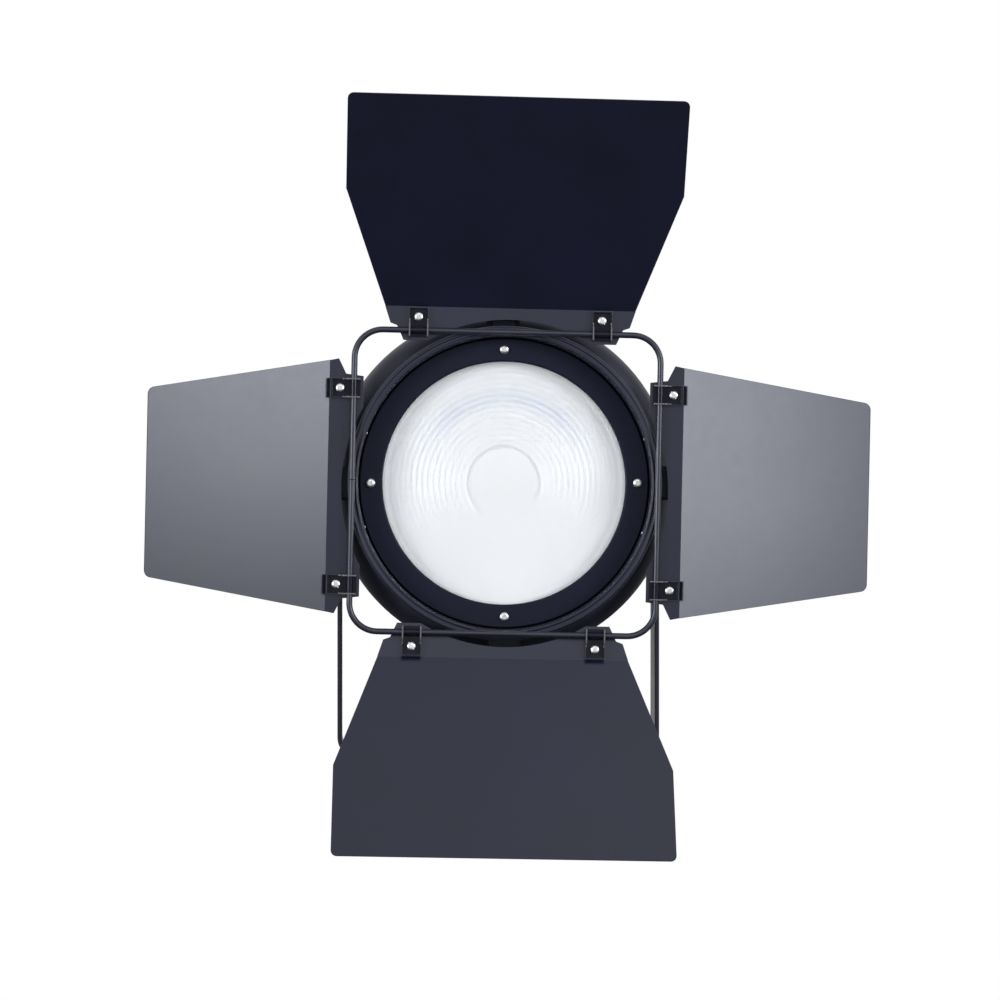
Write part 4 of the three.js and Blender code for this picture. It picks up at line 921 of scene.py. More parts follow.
def fired_ceramic():
    """Unglazed ceramic with a fine speckle."""
    material, tree, shader = new_finish("fired_ceramic")
    speckle = noise(tree, object_place(tree), 700, 5, 0.7)
    colour = colours().ceramic
    tone = blend(tree, spread(tree, speckle, 0, 1), tone_of(colour, 0.86), tone_of(colour, 1.05))
    fed(tree, shader.inputs["Base Color"], tone)
    fed(tree, shader.inputs["Roughness"], spread(tree, speckle, 0.55, 0.72))
    fed(tree, shader.inputs["Normal"], bump(tree, speckle, 0.3, 0.06 * MM))
    return material


def clear_glass(name, tint, clearest, dullest):
    """Glass with an uneven gloss; shadow and diffuse rays go straight through it."""
    material, tree, shader = new_finish(name)
    tree.nodes.remove(shader)
    wiped = noise(tree, object_place(tree), 22, 4, 0.6)
    glass = node(tree, "BsdfGlass", {"Color": tint, "IOR": GLASS_BEND})
    fed(tree, glass.inputs["Roughness"], spread(tree, wiped, clearest, dullest))
    clear = node(tree, "BsdfTransparent", {"Color": tint})
    rays = node(tree, "LightPath").outputs
    straight = sum_of(tree, "MAXIMUM", rays["Is Shadow Ray"], rays["Is Diffuse Ray"])
    mixed = node(tree, "MixShader", {0: straight, 1: glass.outputs[0], 2: clear.outputs[0]})
    fed(tree, tree.nodes["Material Output"].inputs["Surface"], mixed.outputs[0])
    return material


def smooth_step(tree, value, start, end):
    """Eases from 0 at the start to 1 at the end."""
    inputs = {"Value": value, "From Min": start, "From Max": end}
    return node(tree, "MapRange", inputs, interpolation_type="SMOOTHSTEP").outputs[0]


def lens_frost():
    """Pressed lens glass, frosted white, with a painted reflection: a patchy pale grey-blue band across
    its upper part, between its rings.
    """
    material, tree, shader = new_finish("lens_frost")
    place = object_place(tree)
    parts = node(tree, "SeparateXYZ", {0: object_place(tree, shift=(0, 0, -BEAM_Z))})
    across, up = parts.outputs["X"], parts.outputs["Z"]
    spoke = node(tree, "CombineXYZ", {"X": across, "Z": up}).outputs[0]
    reach = node(tree, "VectorMath", {0: spoke}, operation="LENGTH").outputs["Value"]
    # Painted reflection: a grey-blue band at a given reach from the middle, fading in towards the top
    rise = smooth_step(tree, reach, *REFLECTION_ARC_IN)
    fall = sum_of(tree, "SUBTRACT", 1.0, smooth_step(tree, reach, *REFLECTION_ARC_OUT))
    upper = smooth_step(tree, up, *REFLECTION_ARC_UP)
    painted_reflection = sum_of(tree, "MULTIPLY", sum_of(tree, "MULTIPLY", rise, fall), upper)
    cloud = spread(tree, noise(tree, place, 18, 2), 0.5, 0.9)
    painted_reflection = sum_of(tree, "MULTIPLY", painted_reflection, cloud)
    tone = blend(tree, painted_reflection, tone_of(colours().lens), REFLECTION_ARC_TONE)
    fed(tree, shader.inputs["Base Color"], tone)
    shader.inputs["Subsurface Weight"].default_value = 1
    shader.inputs["Subsurface Radius"].default_value = (1, 1, 1)
    shader.inputs["Subsurface Scale"].default_value = FROST_DEPTH
    stipple = noise(tree, place, 900, 2)
    fed(tree, shader.inputs["Roughness"], spread(tree, stipple, 0.32, 0.46))
    fed(tree, shader.inputs["Normal"], bump(tree, stipple, 0.2, 0.05 * MM))
    return material


FINISHES = {
    "housing_black": lambda: paint(
        "satin_enamel", colours().housing, 0.5, 900, 0.05 * MM, 0.045, 0.4
    ),
    "leaf_black": lambda: paint(
        "leaf_paint", colours().leaf, 0.32, 1300, 0.01 * MM, 0.012, 0.5, (1, 1, 0.3)
    ),
    "flat_black": lambda: paint("matt_black", colours().matt, 0.62, 1600, 0.04 * MM, 0.045, 0.2),
    "rod_black": lambda: paint("rod_paint", colours().rod, 0.34, 1200, 0.02 * MM),
    "yoke_black": lambda: paint("powder_coat", colours().yoke, 0.5, 650, 0.09 * MM),
    "bare_steel": lambda: plated("zinc_plate", colours().steel, 0.3),
    "black_steel": blackened_steel,
    "aluminium": lambda: plated("machined_aluminium", colours().aluminium, 0.32, (1, 6, 1)),
    "clear_glass": lambda: clear_glass("filter_glass_clear", (0.985, 0.992, 1.0, 1), 0.34, 0.42),
    "lens_glass": lens_frost,
    "lamp_glass": lambda: clear_glass("lamp_glass_clear", (0.98, 0.98, 0.98, 1), 0.0, 0.01),
    "mirror": lambda: plated("bright_mirror", (0.86, 0.87, 0.89), 0.1),
    "ceramic": fired_ceramic,
    "black_plastic": lambda: moulded("black_plastic", colours().plastic, 0.5, 1500, 0.06 * MM),
}
made_finishes = {}


def finish_of(slot):
    """The one material of a slot, made when it is first asked for."""
    if slot not in made_finishes:
        made_finishes[slot] = FINISHES[slot]()
    return made_finishes[slot]


# Stand socket and yoke


def hexagon(radius):
    """The corners of a hexagon with one of them straight up."""
    return [
        (-radius * math.sin(turn), radius * math.cos(turn))
        for turn in (FULL_TURN * i / 6 for i in range(6))
    ]


def hex_head(radius, low, high):
    """A hexagon head along Y, its corners chamfered at the high end."""
    chamfer = radius * 0.13
    clear = radius * 1.02
    round_off = lathe(
        [(0, low), (clear, low), (clear, high - chamfer), (radius - chamfer, high), (0, high)],
        steps=sizes().small_steps,
    )
    return shaped(plate(hexagon(radius), low, high), "INTERSECT", round_off)


def threaded(radius, low, high):
    """A round bar along Y with a thread cut into it."""
    count = round((high - low) / THREAD_PITCH)
    pitch = (high - low) / count
    root = radius - THREAD_DEPTH
    flanks = []
    for i in range(count):
        start = low + pitch * i
        flanks.append((radius, start + pitch * 0.1))
        flanks.append((root, start + pitch * 0.5))
        flanks.append((radius, start + pitch * 0.9))
    corners = [(0, low), (root, low), *flanks, (root, high), (0, high)]
    return lathe(corners, steps=sizes().small_steps // 2)


class StandSocketOperator(bpy.types.Operator):
    """Turned stand socket with its clamp boss, clamp screw and yoke bolt"""

    bl_idname = "stage_light.stand_socket"
    bl_label = "Stand Socket"

    def execute(self, context):
        edge = sizes().edge_round
        roof = SOCKET_HEIGHT - SOCKET_ROOF
        bore = BOLT_RADIUS + SEAT
        waist = SOCKET_RADIUS - SOCKET_GROOVE
        groove_low, waist_low, waist_high, groove_high = SOCKET_GROOVE_Z
        profile = [
            (SOCKET_BORE, 0, edge), (SOCKET_RADIUS, 0, 2 * edge),
            (SOCKET_RADIUS, groove_low, edge), (waist, waist_low, edge),
            (waist, waist_high, edge), (SOCKET_RADIUS, groove_high, edge),
            (SOCKET_RADIUS, SOCKET_HEIGHT, 2 * edge), (bore, SOCKET_HEIGHT, edge),
            (bore, roof), (SOCKET_BORE, roof),
        ]
        boss = pin(CLAMP_BOSS_RADIUS, SOCKET_BORE + SEAT, CLAMP_BOSS_REACH, round_high=2 * edge)
        clamp_hole = drill(CLAMP_STUD_RADIUS + SEAT, 0, CLAMP_BOSS_REACH + OVERRUN)
        lift = at(0, 0, CLAMP_HEIGHT)
        turned = moved(lathe(profile, closed=True, steps=96), ALONG_Z)
        body = cut(join(turned, moved(boss, lift)), moved(clamp_hole, lift))
        add_fine("stand_socket", body, Matrix())

        grip = pin(CLAMP_BAR_RADIUS, -CLAMP_BAR_HALF, CLAMP_BAR_HALF, 3 * edge, 3 * edge)
        stud = threaded(CLAMP_STUD_RADIUS, SOCKET_BORE + SEAT, CLAMP_REACH)
        screw = join(stud, moved(grip, at(0, CLAMP_REACH, 0), ALONG_X))
        add_fine("socket_clamp_screw", screw, lift)

        under = STRAP_LOW + STRAP + SEAT
        shank = pin(BOLT_RADIUS, roof + SEAT, under + SEAT)
        bolt = join(shank, hex_head(HEX_RADIUS, under, under + HEX_HEIGHT))
        add_fine("socket_bolt", bolt, ALONG_Z)
        return {"FINISHED"}


class YokeOperator(bpy.types.Operator):
    """Flat strap bent to a U, with round ends at the pivots"""

    bl_idname = "stage_light.yoke"
    bl_label = "Yoke"

    def execute(self, context):
        top = BEAM_Z + STRAP_HALF
        bend_z = STRAP_LOW + STRAP + STRAP_BEND
        bend_x = LEG_INSIDE - STRAP_BEND
        bm = bmesh.new()
        bmesh.ops.create_grid(bm, x_segments=1, y_segments=1, size=0.5)
        leg = at(-LEG_INSIDE - STRAP / 2, 0, top) @ Matrix.Diagonal((STRAP, 2 * STRAP_HALF, 1, 1))
        moved(bm, leg)
        end = drawn(bm, bm.faces[:][0], (0, 0, bend_z - top))
        end = swept(bm, end, (-bend_x, 0, bend_z), Y_AXIS, -QUARTER, BEND_STEPS)
        end = drawn(bm, end, (2 * bend_x, 0, 0))
        end = swept(bm, end, (bend_x, 0, bend_z), Y_AXIS, -QUARTER, BEND_STEPS)
        drawn(bm, end, (0, 0, top - bend_z))
        tidy(bm)
        top_edges = [e for e in bm.edges if all(v.co.z > top - WELD for v in e.verts)]
        corners = [e for e in top_edges if abs(e.verts[0].co.y - e.verts[1].co.y) < WELD]
        rounded(bm, corners, STRAP_HALF - WELD * 5, 24)
        bmesh.ops.remove_doubles(bm, verts=bm.verts[:], dist=WELD * 8)
        soften(bm, 2 * sizes().edge_round)
        hole = PIVOT_RADIUS + SEAT
        reach = LEG_INSIDE + STRAP + OVERRUN
        bm = cut(
            bm,
            moved(drill(hole, -reach, reach), at(0, 0, BEAM_Z), ALONG_X),
            moved(drill(hole, STRAP_LOW - OVERRUN, STRAP_LOW + STRAP + OVERRUN), ALONG_Z),
        )
        add_fine("yoke_strap", bm, Matrix())
        return {"FINISHED"}


# Tilt pivot


def outward_turn(side):
    """Turns a body's +Y out to the right, or to the left for a negative side."""
    return ALONG_X if side > 0 else Matrix.Rotation(HALF_TURN, 4, "Z") @ ALONG_X


def pivot_plate(side):
    """A square plate on the barrel's flat, with the wells of its four screws."""
    low, high = PLATE_INSIDE, PLATE_INSIDE + PLATE_THICKNESS
    corners = rectangle(PLATE_HALF, -PLATE_HALF, PLATE_HALF, PLATE_CORNER)
    bm = plate(corners, low, high, edge=sizes().edge_round)
    tools = [drill(PIVOT_RADIUS + SEAT, low - OVERRUN, high + OVERRUN)]
    for x, z in plate_screw_places():
        well = drill(PLATE_SCREW_RADIUS, high - PLATE_SCREW_DEPTH, high + OVERRUN)
        tools.append(moved(well, at(x, 0, z)))
    return moved(cut(bm, *tools), outward_turn(side))


def plate_screw_places():
    """The (x, z) places of a pivot plate's four screws."""
    return [(x * PLATE_SCREW_AT, z * PLATE_SCREW_AT) for x in (-1, 1) for z in (-1, 1)]


def socket_screw(radius, low, high, key):
    """A flush round screw head along Y with a hexagon socket."""
    head = pin(radius, low, high, round_high=0.3 * MM)
    return cut(head, plate(hexagon(key), high - KEY_DEPTH, high + OVERRUN))


class TiltPivotOperator(bpy.types.Operator):
    """Pivot plates, bolt, washer and the lobed lock knob"""

    bl_idname = "stage_light.tilt_pivot"
    bl_label = "Tilt Pivot"

    def execute(self, context):
        face = PLATE_INSIDE + PLATE_THICKNESS
        radius = PLATE_SCREW_RADIUS - PLATE_SCREW_GAP
        low, high = face - PLATE_SCREW_DEPTH, face - PLATE_SCREW_GAP
        for side, name in ((1, "right"), (-1, "left")):
            add_fine(f"pivot_plate_{name}", pivot_plate(side))
            screws = [
                moved(socket_screw(radius, low, high, PLATE_SCREW_KEY), at(x, 0, z))
                for x, z in plate_screw_places()
            ]
            screws = moved(together(*screws), outward_turn(side))
            add_trim(f"plate_screws_{name}", screws, f"pivot_plate_{name}", "black_steel")

        leg = LEG_INSIDE + STRAP + SEAT
        under = leg + WASHER_THICKNESS + SEAT
        shank = pin(PIVOT_RADIUS, PLATE_INSIDE + SEAT, under + SEAT)
        bolt = join(shank, hex_head(HEX_RADIUS, under, under + HEX_HEIGHT))
        add_fine("pivot_bolt_right", moved(bolt, ALONG_X))
        hole = PIVOT_RADIUS + SEAT
        washer_top = leg + WASHER_THICKNESS
        rim = [
            (hole, leg), (WASHER_RADIUS, leg, 0.3 * MM),
            (WASHER_RADIUS, washer_top, 0.8 * MM), (hole, washer_top, 0.3 * MM),
        ]
        washer = moved(lathe(rim, closed=True, steps=64), ALONG_X)
        add_fine("pivot_washer_right", washer)

        knob_face = leg + KNOB_FLANGE
        end = knob_face + KNOB_LENGTH
        blank = [
            (0, knob_face), (KNOB_RADIUS, knob_face, 1 * MM), (KNOB_RADIUS, end, 2.4 * MM),
            (0.5 * KNOB_RADIUS, end, 0.5 * MM), (0.46 * KNOB_RADIUS, end - KNOB_DISH, 0.5 * MM),
            (0, end - KNOB_DISH),
        ]
        scallop_radius = 2.25 * KNOB_LOBE
        scallop = drill(scallop_radius, knob_face - OVERRUN, end + OVERRUN)
        moved(scallop, at(0, 0, KNOB_RADIUS + scallop_radius - KNOB_LOBE))
        knob = cut(lathe(blank, steps=96), around(scallop, KNOB_LOBES))
        flange = pin(KNOB_FLANGE_RADIUS, leg, knob_face + SEAT, round_low=0.6 * MM)
        stud = pin(PIVOT_RADIUS, PLATE_INSIDE + SEAT, leg + SEAT)
        knob = moved(join(knob, flange, stud), outward_turn(-1))
        add_fine("tilt_lock_knob", knob)
        return {"FINISHED"}


# Housing


def finned_outline():
    """The barrel's closed outline, with a fin at each of its places round the beam."""
    half = FIN_THICKNESS / 2
    edge = sizes().edge_round
    fin = [
        (-half, BARREL_RADIUS), (-half, FIN_TOP, edge), (half, FIN_TOP, edge), (half, BARREL_RADIUS)
    ]
    bm = wire(fin, closed=False, steps=2)
    foot = min(bm.verts, key=lambda v: (v.co - Vector((half, 0, BARREL_RADIUS))).length)
    gap = FULL_TURN / FIN_COUNT - 2 * math.asin(half / BARREL_RADIUS)
    bmesh.ops.spin(
        bm, geom=[foot], cent=(0, 0, 0), axis=Y_AXIS, dvec=(0, 0, 0), angle=gap, steps=4
    )
    around(bm, FIN_COUNT)
    bmesh.ops.remove_doubles(bm, verts=bm.verts[:], dist=0.05 * MM)
    return bm


class BarrelOperator(bpy.types.Operator):
    """Extruded barrel with lengthwise cooling fins"""

    bl_idname = "stage_light.barrel"
    bl_label = "Barrel"

    def execute(self, context):
        low, high = BARREL_Y
        bm = finned_outline()
        bmesh.ops.contextual_create(bm, geom=bm.edges[:])
        bmesh.ops.translate(bm, vec=Y_AXIS * low, verts=bm.verts[:])
        drawn(bm, bm.faces[:][0], Y_AXIS * (high - low))
        tidy(bm)
        bore = drill(BARREL_RADIUS - BARREL_WALL, low - OVERRUN, high + OVERRUN, sizes().turn_steps)
        slot = block(
            (-BARREL_SLOT_HALF, BARREL_SLOT_HALF), (BASE_Y[0] - SEAT, BASE_Y[1] + SEAT),
            (-FIN_TOP - OVERRUN, BARREL_SLOT_TOP),
        )
        past = FIN_TOP + OVERRUN
        flats = [
            block((side * FLAT_X, side * past), (-FLAT_HALF, FLAT_HALF), (-FLAT_HALF, FLAT_HALF))
            for side in (-1, 1)
        ]
        vents = [
            block((x - BARREL_VENT_HALF, x + BARREL_VENT_HALF), BARREL_VENT_Y, (0, past))
            for x in BARREL_VENT_X
        ]
        add_fine("housing_barrel", cut(bm, bore, slot, *flats, *vents))
        return {"FINISHED"}


def dome(width, depth, steps=12):
    """The bezel's round from its shoulder out to its rim, as turning corners."""
    return [
        (SHOULDER_RADIUS + width * math.sin(turn), BEZEL_RIM - depth * math.cos(turn))
        for turn in (QUARTER * i / steps for i in range(steps + 1))
    ]


class BezelOperator(bpy.types.Operator):
    """Cast front bezel with its collar and the bosses of the ears"""

    bl_idname = "stage_light.bezel"
    bl_label = "Front Bezel"

    def execute(self, context):
        width = BEZEL_RADIUS - SHOULDER_RADIUS
        depth = BEZEL_RIM - SHOULDER_Y
        inner = dome(width - BEZEL_WALL, depth - BEZEL_WALL, 6)
        throat = BARREL_RADIUS - BARREL_WALL / 2
        pocket = GLASS_RADIUS + SEAT
        ledge = pocket - POCKET_LEDGE
        floor = COLLAR_FRONT + GLASS + SEAT
        collar_inside = COLLAR_RADIUS - COLLAR_WALL
        rim_inside = BEZEL_BACK - BEZEL_WALL
        shell = lathe(
            [
                (COLLAR_RADIUS, COLLAR_FRONT, 0.6 * MM), (COLLAR_RADIUS, SHOULDER_Y, 0.8 * MM),
                *dome(width, depth), (BEZEL_RADIUS, BEZEL_BACK, 1 * MM),
                (throat, BEZEL_BACK), (throat, rim_inside),
                (BEZEL_RADIUS - BEZEL_WALL, rim_inside), *reversed(inner),
                (collar_inside, SHOULDER_Y + BEZEL_WALL), (collar_inside, COLLAR_BACK),
                (ledge, COLLAR_BACK), (ledge, floor), (pocket, floor), (pocket, COLLAR_FRONT, 0.4 * MM),
            ],
            closed=True,
        )
        bosses = []
        for i in range(4):
            boss = block(
                (-BOSS_HALF, BOSS_HALF), (SHOULDER_Y, BEZEL_RIM - BEZEL_WALL),
                (SHOULDER_RADIUS - BEZEL_WALL, BOSS_REACH), edge=1 * MM,
            )
            bosses.append(moved(boss, about_beam(QUARTER * i)))
        hole = drill(SCREW_RADIUS + SEAT, COLLAR_FRONT - OVERRUN, COLLAR_BACK + OVERRUN, 24)
        hole = moved(hole, at(0, 0, RING_SCREW_AT))
        bm = cut(join(shell, *bosses), around(hole, RING_SCREWS))
        add_fine("front_bezel", bm)
        return {"FINISHED"}


class EarsOperator(bpy.types.Operator):
    """Fixed ears, and the sprung latch on its bracket"""

    bl_idname = "stage_light.ears"
    bl_label = "Ears and Latch"

    def ear(self):
        """A riveted foot on the shoulder with a lip over the door ring."""
        edge = sizes().edge_round
        back = SHOULDER_Y - SEAT
        front = back - EAR_FOOT
        low = DOOR_RING_RADIUS + EAR_GAP
        foot = block((-EAR_HALF, EAR_HALF), (front, back), (low, BOSS_REACH), edge)
        lip = block(
            (-EAR_HALF, EAR_HALF), (front - EAR_LIP, front + SEAT),
            (LIP_REACH, LIP_REACH + EAR_LIP_DEPTH), edge,
        )
        under = block((-BOSS_HALF, BOSS_HALF), (front, back), (LIP_REACH - OVERRUN, low))
        rivet_x, rivet_z = RIVET_AT
        rivets = []
        for x in (-rivet_x, rivet_x):
            rivet = pin(RIVET_RADIUS, front - RIVET_HEAD, back - SEAT, round_low=0.9 * MM, steps=24)
            rivets.append(moved(rivet, at(x, 0, rivet_z)))
        return join(cut(join(foot, lip), under), *rivets)

    def bracket(self):
        """The latch's two cheeks with its pin through them."""
        back = SHOULDER_Y - SEAT
        cheek_in = LATCH_HALF + SEAT
        cheek_out = cheek_in + LATCH_CHEEK
        low = LATCH_Z - LATCH_SLEEVE
        high = LATCH_Z + LATCH_SLEEVE
        front = LATCH_Y - LATCH_SLEEVE
        cheek = [
            (back, low), (back, high),
            (front, high, LATCH_CHEEK_ROUND), (front, low, LATCH_CHEEK_ROUND),
        ]
        cheeks = [
            moved(plate(cheek, *ends, edge=0.2 * MM), SIDEWAYS)
            for ends in ((-cheek_out, -cheek_in), (cheek_in, cheek_out))
        ]
        pin_end = cheek_out + LATCH_PIN_PROUD
        rod = pin(LATCH_PIN_RADIUS, -pin_end, pin_end, 0.3 * MM, 0.3 * MM, 24)
        return join(together(*cheeks), moved(rod, at(0, LATCH_Y, LATCH_Z), ALONG_X))

    def latch(self):
        """The sprung ear: a sleeve on the pin, a finger over the ring and a ribbed tab."""
        edge = sizes().edge_round
        width = (-LATCH_HALF, LATCH_HALF)
        front = SHOULDER_Y - SEAT - EAR_FOOT
        pivot = at(0, LATCH_Y, LATCH_Z)
        sleeve = moved(pin(LATCH_SLEEVE, *width, steps=32), pivot, ALONG_X)
        finger = block(width, (front - EAR_LIP, front), (LIP_REACH, LATCH_Z), edge)
        tab = block(
            width, (LATCH_Y - LATCH_TAB_SHEET, LATCH_Y),
            (LATCH_Z + LATCH_PIN_RADIUS, LATCH_Z + LATCH_TAB), edge,
        )
        rib_half = LATCH_HALF - LATCH_RIB_INSET
        rib_depth = tuple(LATCH_Y + y for y in LATCH_RIB_Y)
        ribs = [
            block((-rib_half, rib_half), rib_depth, (z, z + LATCH_RIB), 0.2 * MM)
            for z in (LATCH_Z + rise for rise in LATCH_RIBS)
        ]
        bore = drill(LATCH_PIN_RADIUS + SEAT, -LATCH_HALF - OVERRUN, LATCH_HALF + OVERRUN, 24)
        return cut(join(sleeve, finger, tab, *ribs), moved(bore, pivot, ALONG_X))

    def execute(self, context):
        for i, side in enumerate(("right", "bottom", "left")):
            ear = moved(self.ear(), about_beam(QUARTER * (i + 1)))
            add_fine(f"ear_{side}", ear)
        add_fine("latch_bracket", self.bracket())
        add_fine("top_latch", self.latch())
        return {"FINISHED"}


# Glass and lens


def cross_recess(low, depth, reach):
    """A cross-shaped cutter along Y with a round middle."""
    through = (low - OVERRUN, low + depth)
    arm = (-RECESS_ARM, RECESS_ARM)
    length = (-reach, reach)
    middle_hole = drill(RECESS_MIDDLE, low - OVERRUN, low + 1.3 * depth, 16)
    return join(block(length, through, arm), block(arm, through, length), middle_hole)


def pan_screw(head, head_height, radius, length):
    """A pan-head screw that points along +Y from the underside of its head."""
    return lathe(
        [
            (0, -head_height), (0.62 * head, -head_height, 0.8 * MM),
            (head, -0.45 * head_height, 0.6 * MM), (head, 0, 0.15 * MM),
            (radius, 0), (radius, length, 0.4 * MM), (0, length),
        ],
        steps=sizes().small_steps,
    )


class GlassOperator(bpy.types.Operator):
    """Filter glass, its ring with four screws, and the stepped lens in its ring"""

    bl_idname = "stage_light.glass"
    bl_label = "Glass and Lens"

    def stepped_lens(self):
        """A round crown and rings that slope back outward, each with a narrow crest."""
        front, back = LENS_Y
        valley = front + LENS_VALLEY
        crown = [
            (LENS_CROWN * math.sin(turn), valley - LENS_CROWN_RISE * math.cos(turn))
            for turn in (QUARTER * i / 8 for i in range(9))
        ]
        count = sizes().lens_steps
        width = (LENS_RING_BORE - LENS_CROWN) / count
        crest = front + SEAT
        least, more = LENS_STEP_RISE
        steps = []
        for i in range(count):
            fall = least + more * i / count
            inner = LENS_CROWN + width * i
            outer = inner + width - LENS_STEP_GAP
            steps += [(inner, crest), (inner + LENS_STEP_CREST, crest), (outer, crest + fall)]
        rim = [(LENS_RING_BORE, front), (LENS_RADIUS, front), (LENS_RADIUS, back), (0, back)]
        return lathe([*crown, *steps, *rim])

    def execute(self, context):
        front = COLLAR_FRONT
        back = front + GLASS
        pane = [(0, front), (GLASS_RADIUS, front, 0.4 * MM), (GLASS_RADIUS, back, 0.4 * MM), (0, back)]
        add_fine("filter_glass", lathe(pane))

        front, back = RING_Y
        ring = lathe(
            [
                (CLEAR_RADIUS, back), (CLEAR_RADIUS, front + RING_LIP, 0.3 * MM),
                (CLEAR_RADIUS + 1 * MM, front, 0.5 * MM), (RING_RADIUS, front, 0.5 * MM),
                (RING_RADIUS, back),
            ],
            closed=True,
        )
        hole = drill(SCREW_RADIUS + SEAT, front - OVERRUN, back + OVERRUN, 24)
        hole = moved(hole, at(0, 0, RING_SCREW_AT))
        add_fine("filter_ring", cut(ring, around(hole, RING_SCREWS)))
        for i in range(RING_SCREWS):
            screw = pan_screw(SCREW_HEAD, SCREW_HEAD_HEIGHT, SCREW_RADIUS, RING_SCREW_LENGTH)
            screw = cut(screw, cross_recess(-SCREW_HEAD_HEIGHT, *RING_SCREW_RECESS))
            turn = about_beam(math.radians(RING_SCREW_TURNS[i]))
            moved(screw, about_beam(QUARTER * i), at(0, front - SEAT, RING_SCREW_AT), turn)
            add_fine(f"filter_screw_{i + 1}", screw)

        add_fine("fresnel_lens", self.stepped_lens())
        front, back = LENS_Y
        outer = COLLAR_RADIUS - COLLAR_WALL - SEAT
        inner = LENS_RADIUS + SEAT
        lip = back + SEAT
        ring = [
            (inner, front), (outer, front, 0.4 * MM), (outer, LENS_RING_BACK, 0.4 * MM),
            (LENS_RING_BORE, LENS_RING_BACK, 0.4 * MM), (LENS_RING_BORE, lip), (inner, lip),
        ]
        add_fine("lens_ring", lathe(ring, closed=True))
        return {"FINISHED"}


# Barn door


class DoorFrameOperator(bpy.types.Operator):
    """Barn door's turned ring and the bent rod that the leaves hinge on"""

    bl_idname = "stage_light.door_frame"
    bl_label = "Barn Door Frame"

    def execute(self, context):
        front, back = DOOR_RING_Y
        bore, outside = DOOR_RING_BORE, DOOR_RING_RADIUS
        bead = front + DOOR_RING_BEAD
        dish = front + DOOR_RING_DISH
        # The front face is dished between a lip at the bore and one at the bead.
        ring = lathe(
            [
                (bore, back), (bore, front + 2.2 * MM, 0.8 * MM), (bore + 1.3 * MM, front, 0.6 * MM),
                (bore + 2.4 * MM, front, 0.4 * MM), (bore + 3.1 * MM, dish, 0.4 * MM),
                (outside - 3.6 * MM, dish, 0.4 * MM), (outside - 2.9 * MM, front, 0.4 * MM),
                (outside - 1.6 * MM, front, 0.8 * MM), (outside, front + 1.8 * MM, 0.8 * MM),
                (outside, bead, 0.6 * MM), (DOOR_RING_NECK, bead + 1.2 * MM, 0.8 * MM),
                (DOOR_RING_NECK, back - DOOR_RING_FLANGE, 0.8 * MM),
                (outside, back - DOOR_RING_FLANGE, 0.4 * MM), (outside, back, 0.4 * MM),
            ],
            closed=True,
        )
        add_fine("door_ring", ring, DOOR)
        low, high = bore - 0.6 * MM, bore + 0.5 * MM
        rivets = []
        for side in (-1, 1):
            for end in (-1, 1):
                rivet = pin(DOOR_RIVET_RADIUS, low, high, round_low=0.5 * MM, steps=24)
                turn = about_beam(side * (QUARTER + end * DOOR_RIVET_TURN))
                rivets.append(moved(rivet, turn, at(0, front + DOOR_RIVET_BACK, 0), ALONG_Z))
        add_trim("door_ring_rivets", together(*rivets), "door_ring", "bare_steel", DOOR)

        reach_x = ROD_HALF_WIDTH - ROD_BEND
        reach_z = ROD_HALF_HEIGHT - ROD_BEND
        half_gap = ROD_GAP / 2

        def bend(x, z):
            return (x * reach_x, 0, z * reach_z), Y_AXIS, QUARTER, ROD_BEND_STEPS

        moves = [
            [(0, 0, reach_z - half_gap)], bend(-1, 1), [(2 * reach_x, 0, 0)], bend(1, 1),
            [(0, 0, -2 * reach_z)], bend(1, -1), [(-2 * reach_x, 0, 0)], bend(-1, -1),
            [(0, 0, reach_z - half_gap)],
        ]
        rod = bent_rod(ROD_RADIUS, (-ROD_HALF_WIDTH, 0, half_gap), (0, 0, 1), moves, steps=32)
        soften(rod, 0.3 * MM)
        add_fine("hinge_frame", moved(rod, at(0, ROD_Y, 0)), DOOR)
        return {"FINISHED"}


def leaf_place(side):
    """The place of a leaf's hinge at rest: X along the rod, Z outward."""
    x, y, z = JOINTS[f"leaf_{side}_fold"]["pos_m"]
    height = z - BEAM_Z
    spoke = HEAD @ about_beam(math.atan2(x, height))
    slid = at(LEAVES[side]["slide"], y, math.hypot(x, height))
    return spoke @ slid @ Matrix.Rotation(LEAVES[side]["rest"], 4, "X")


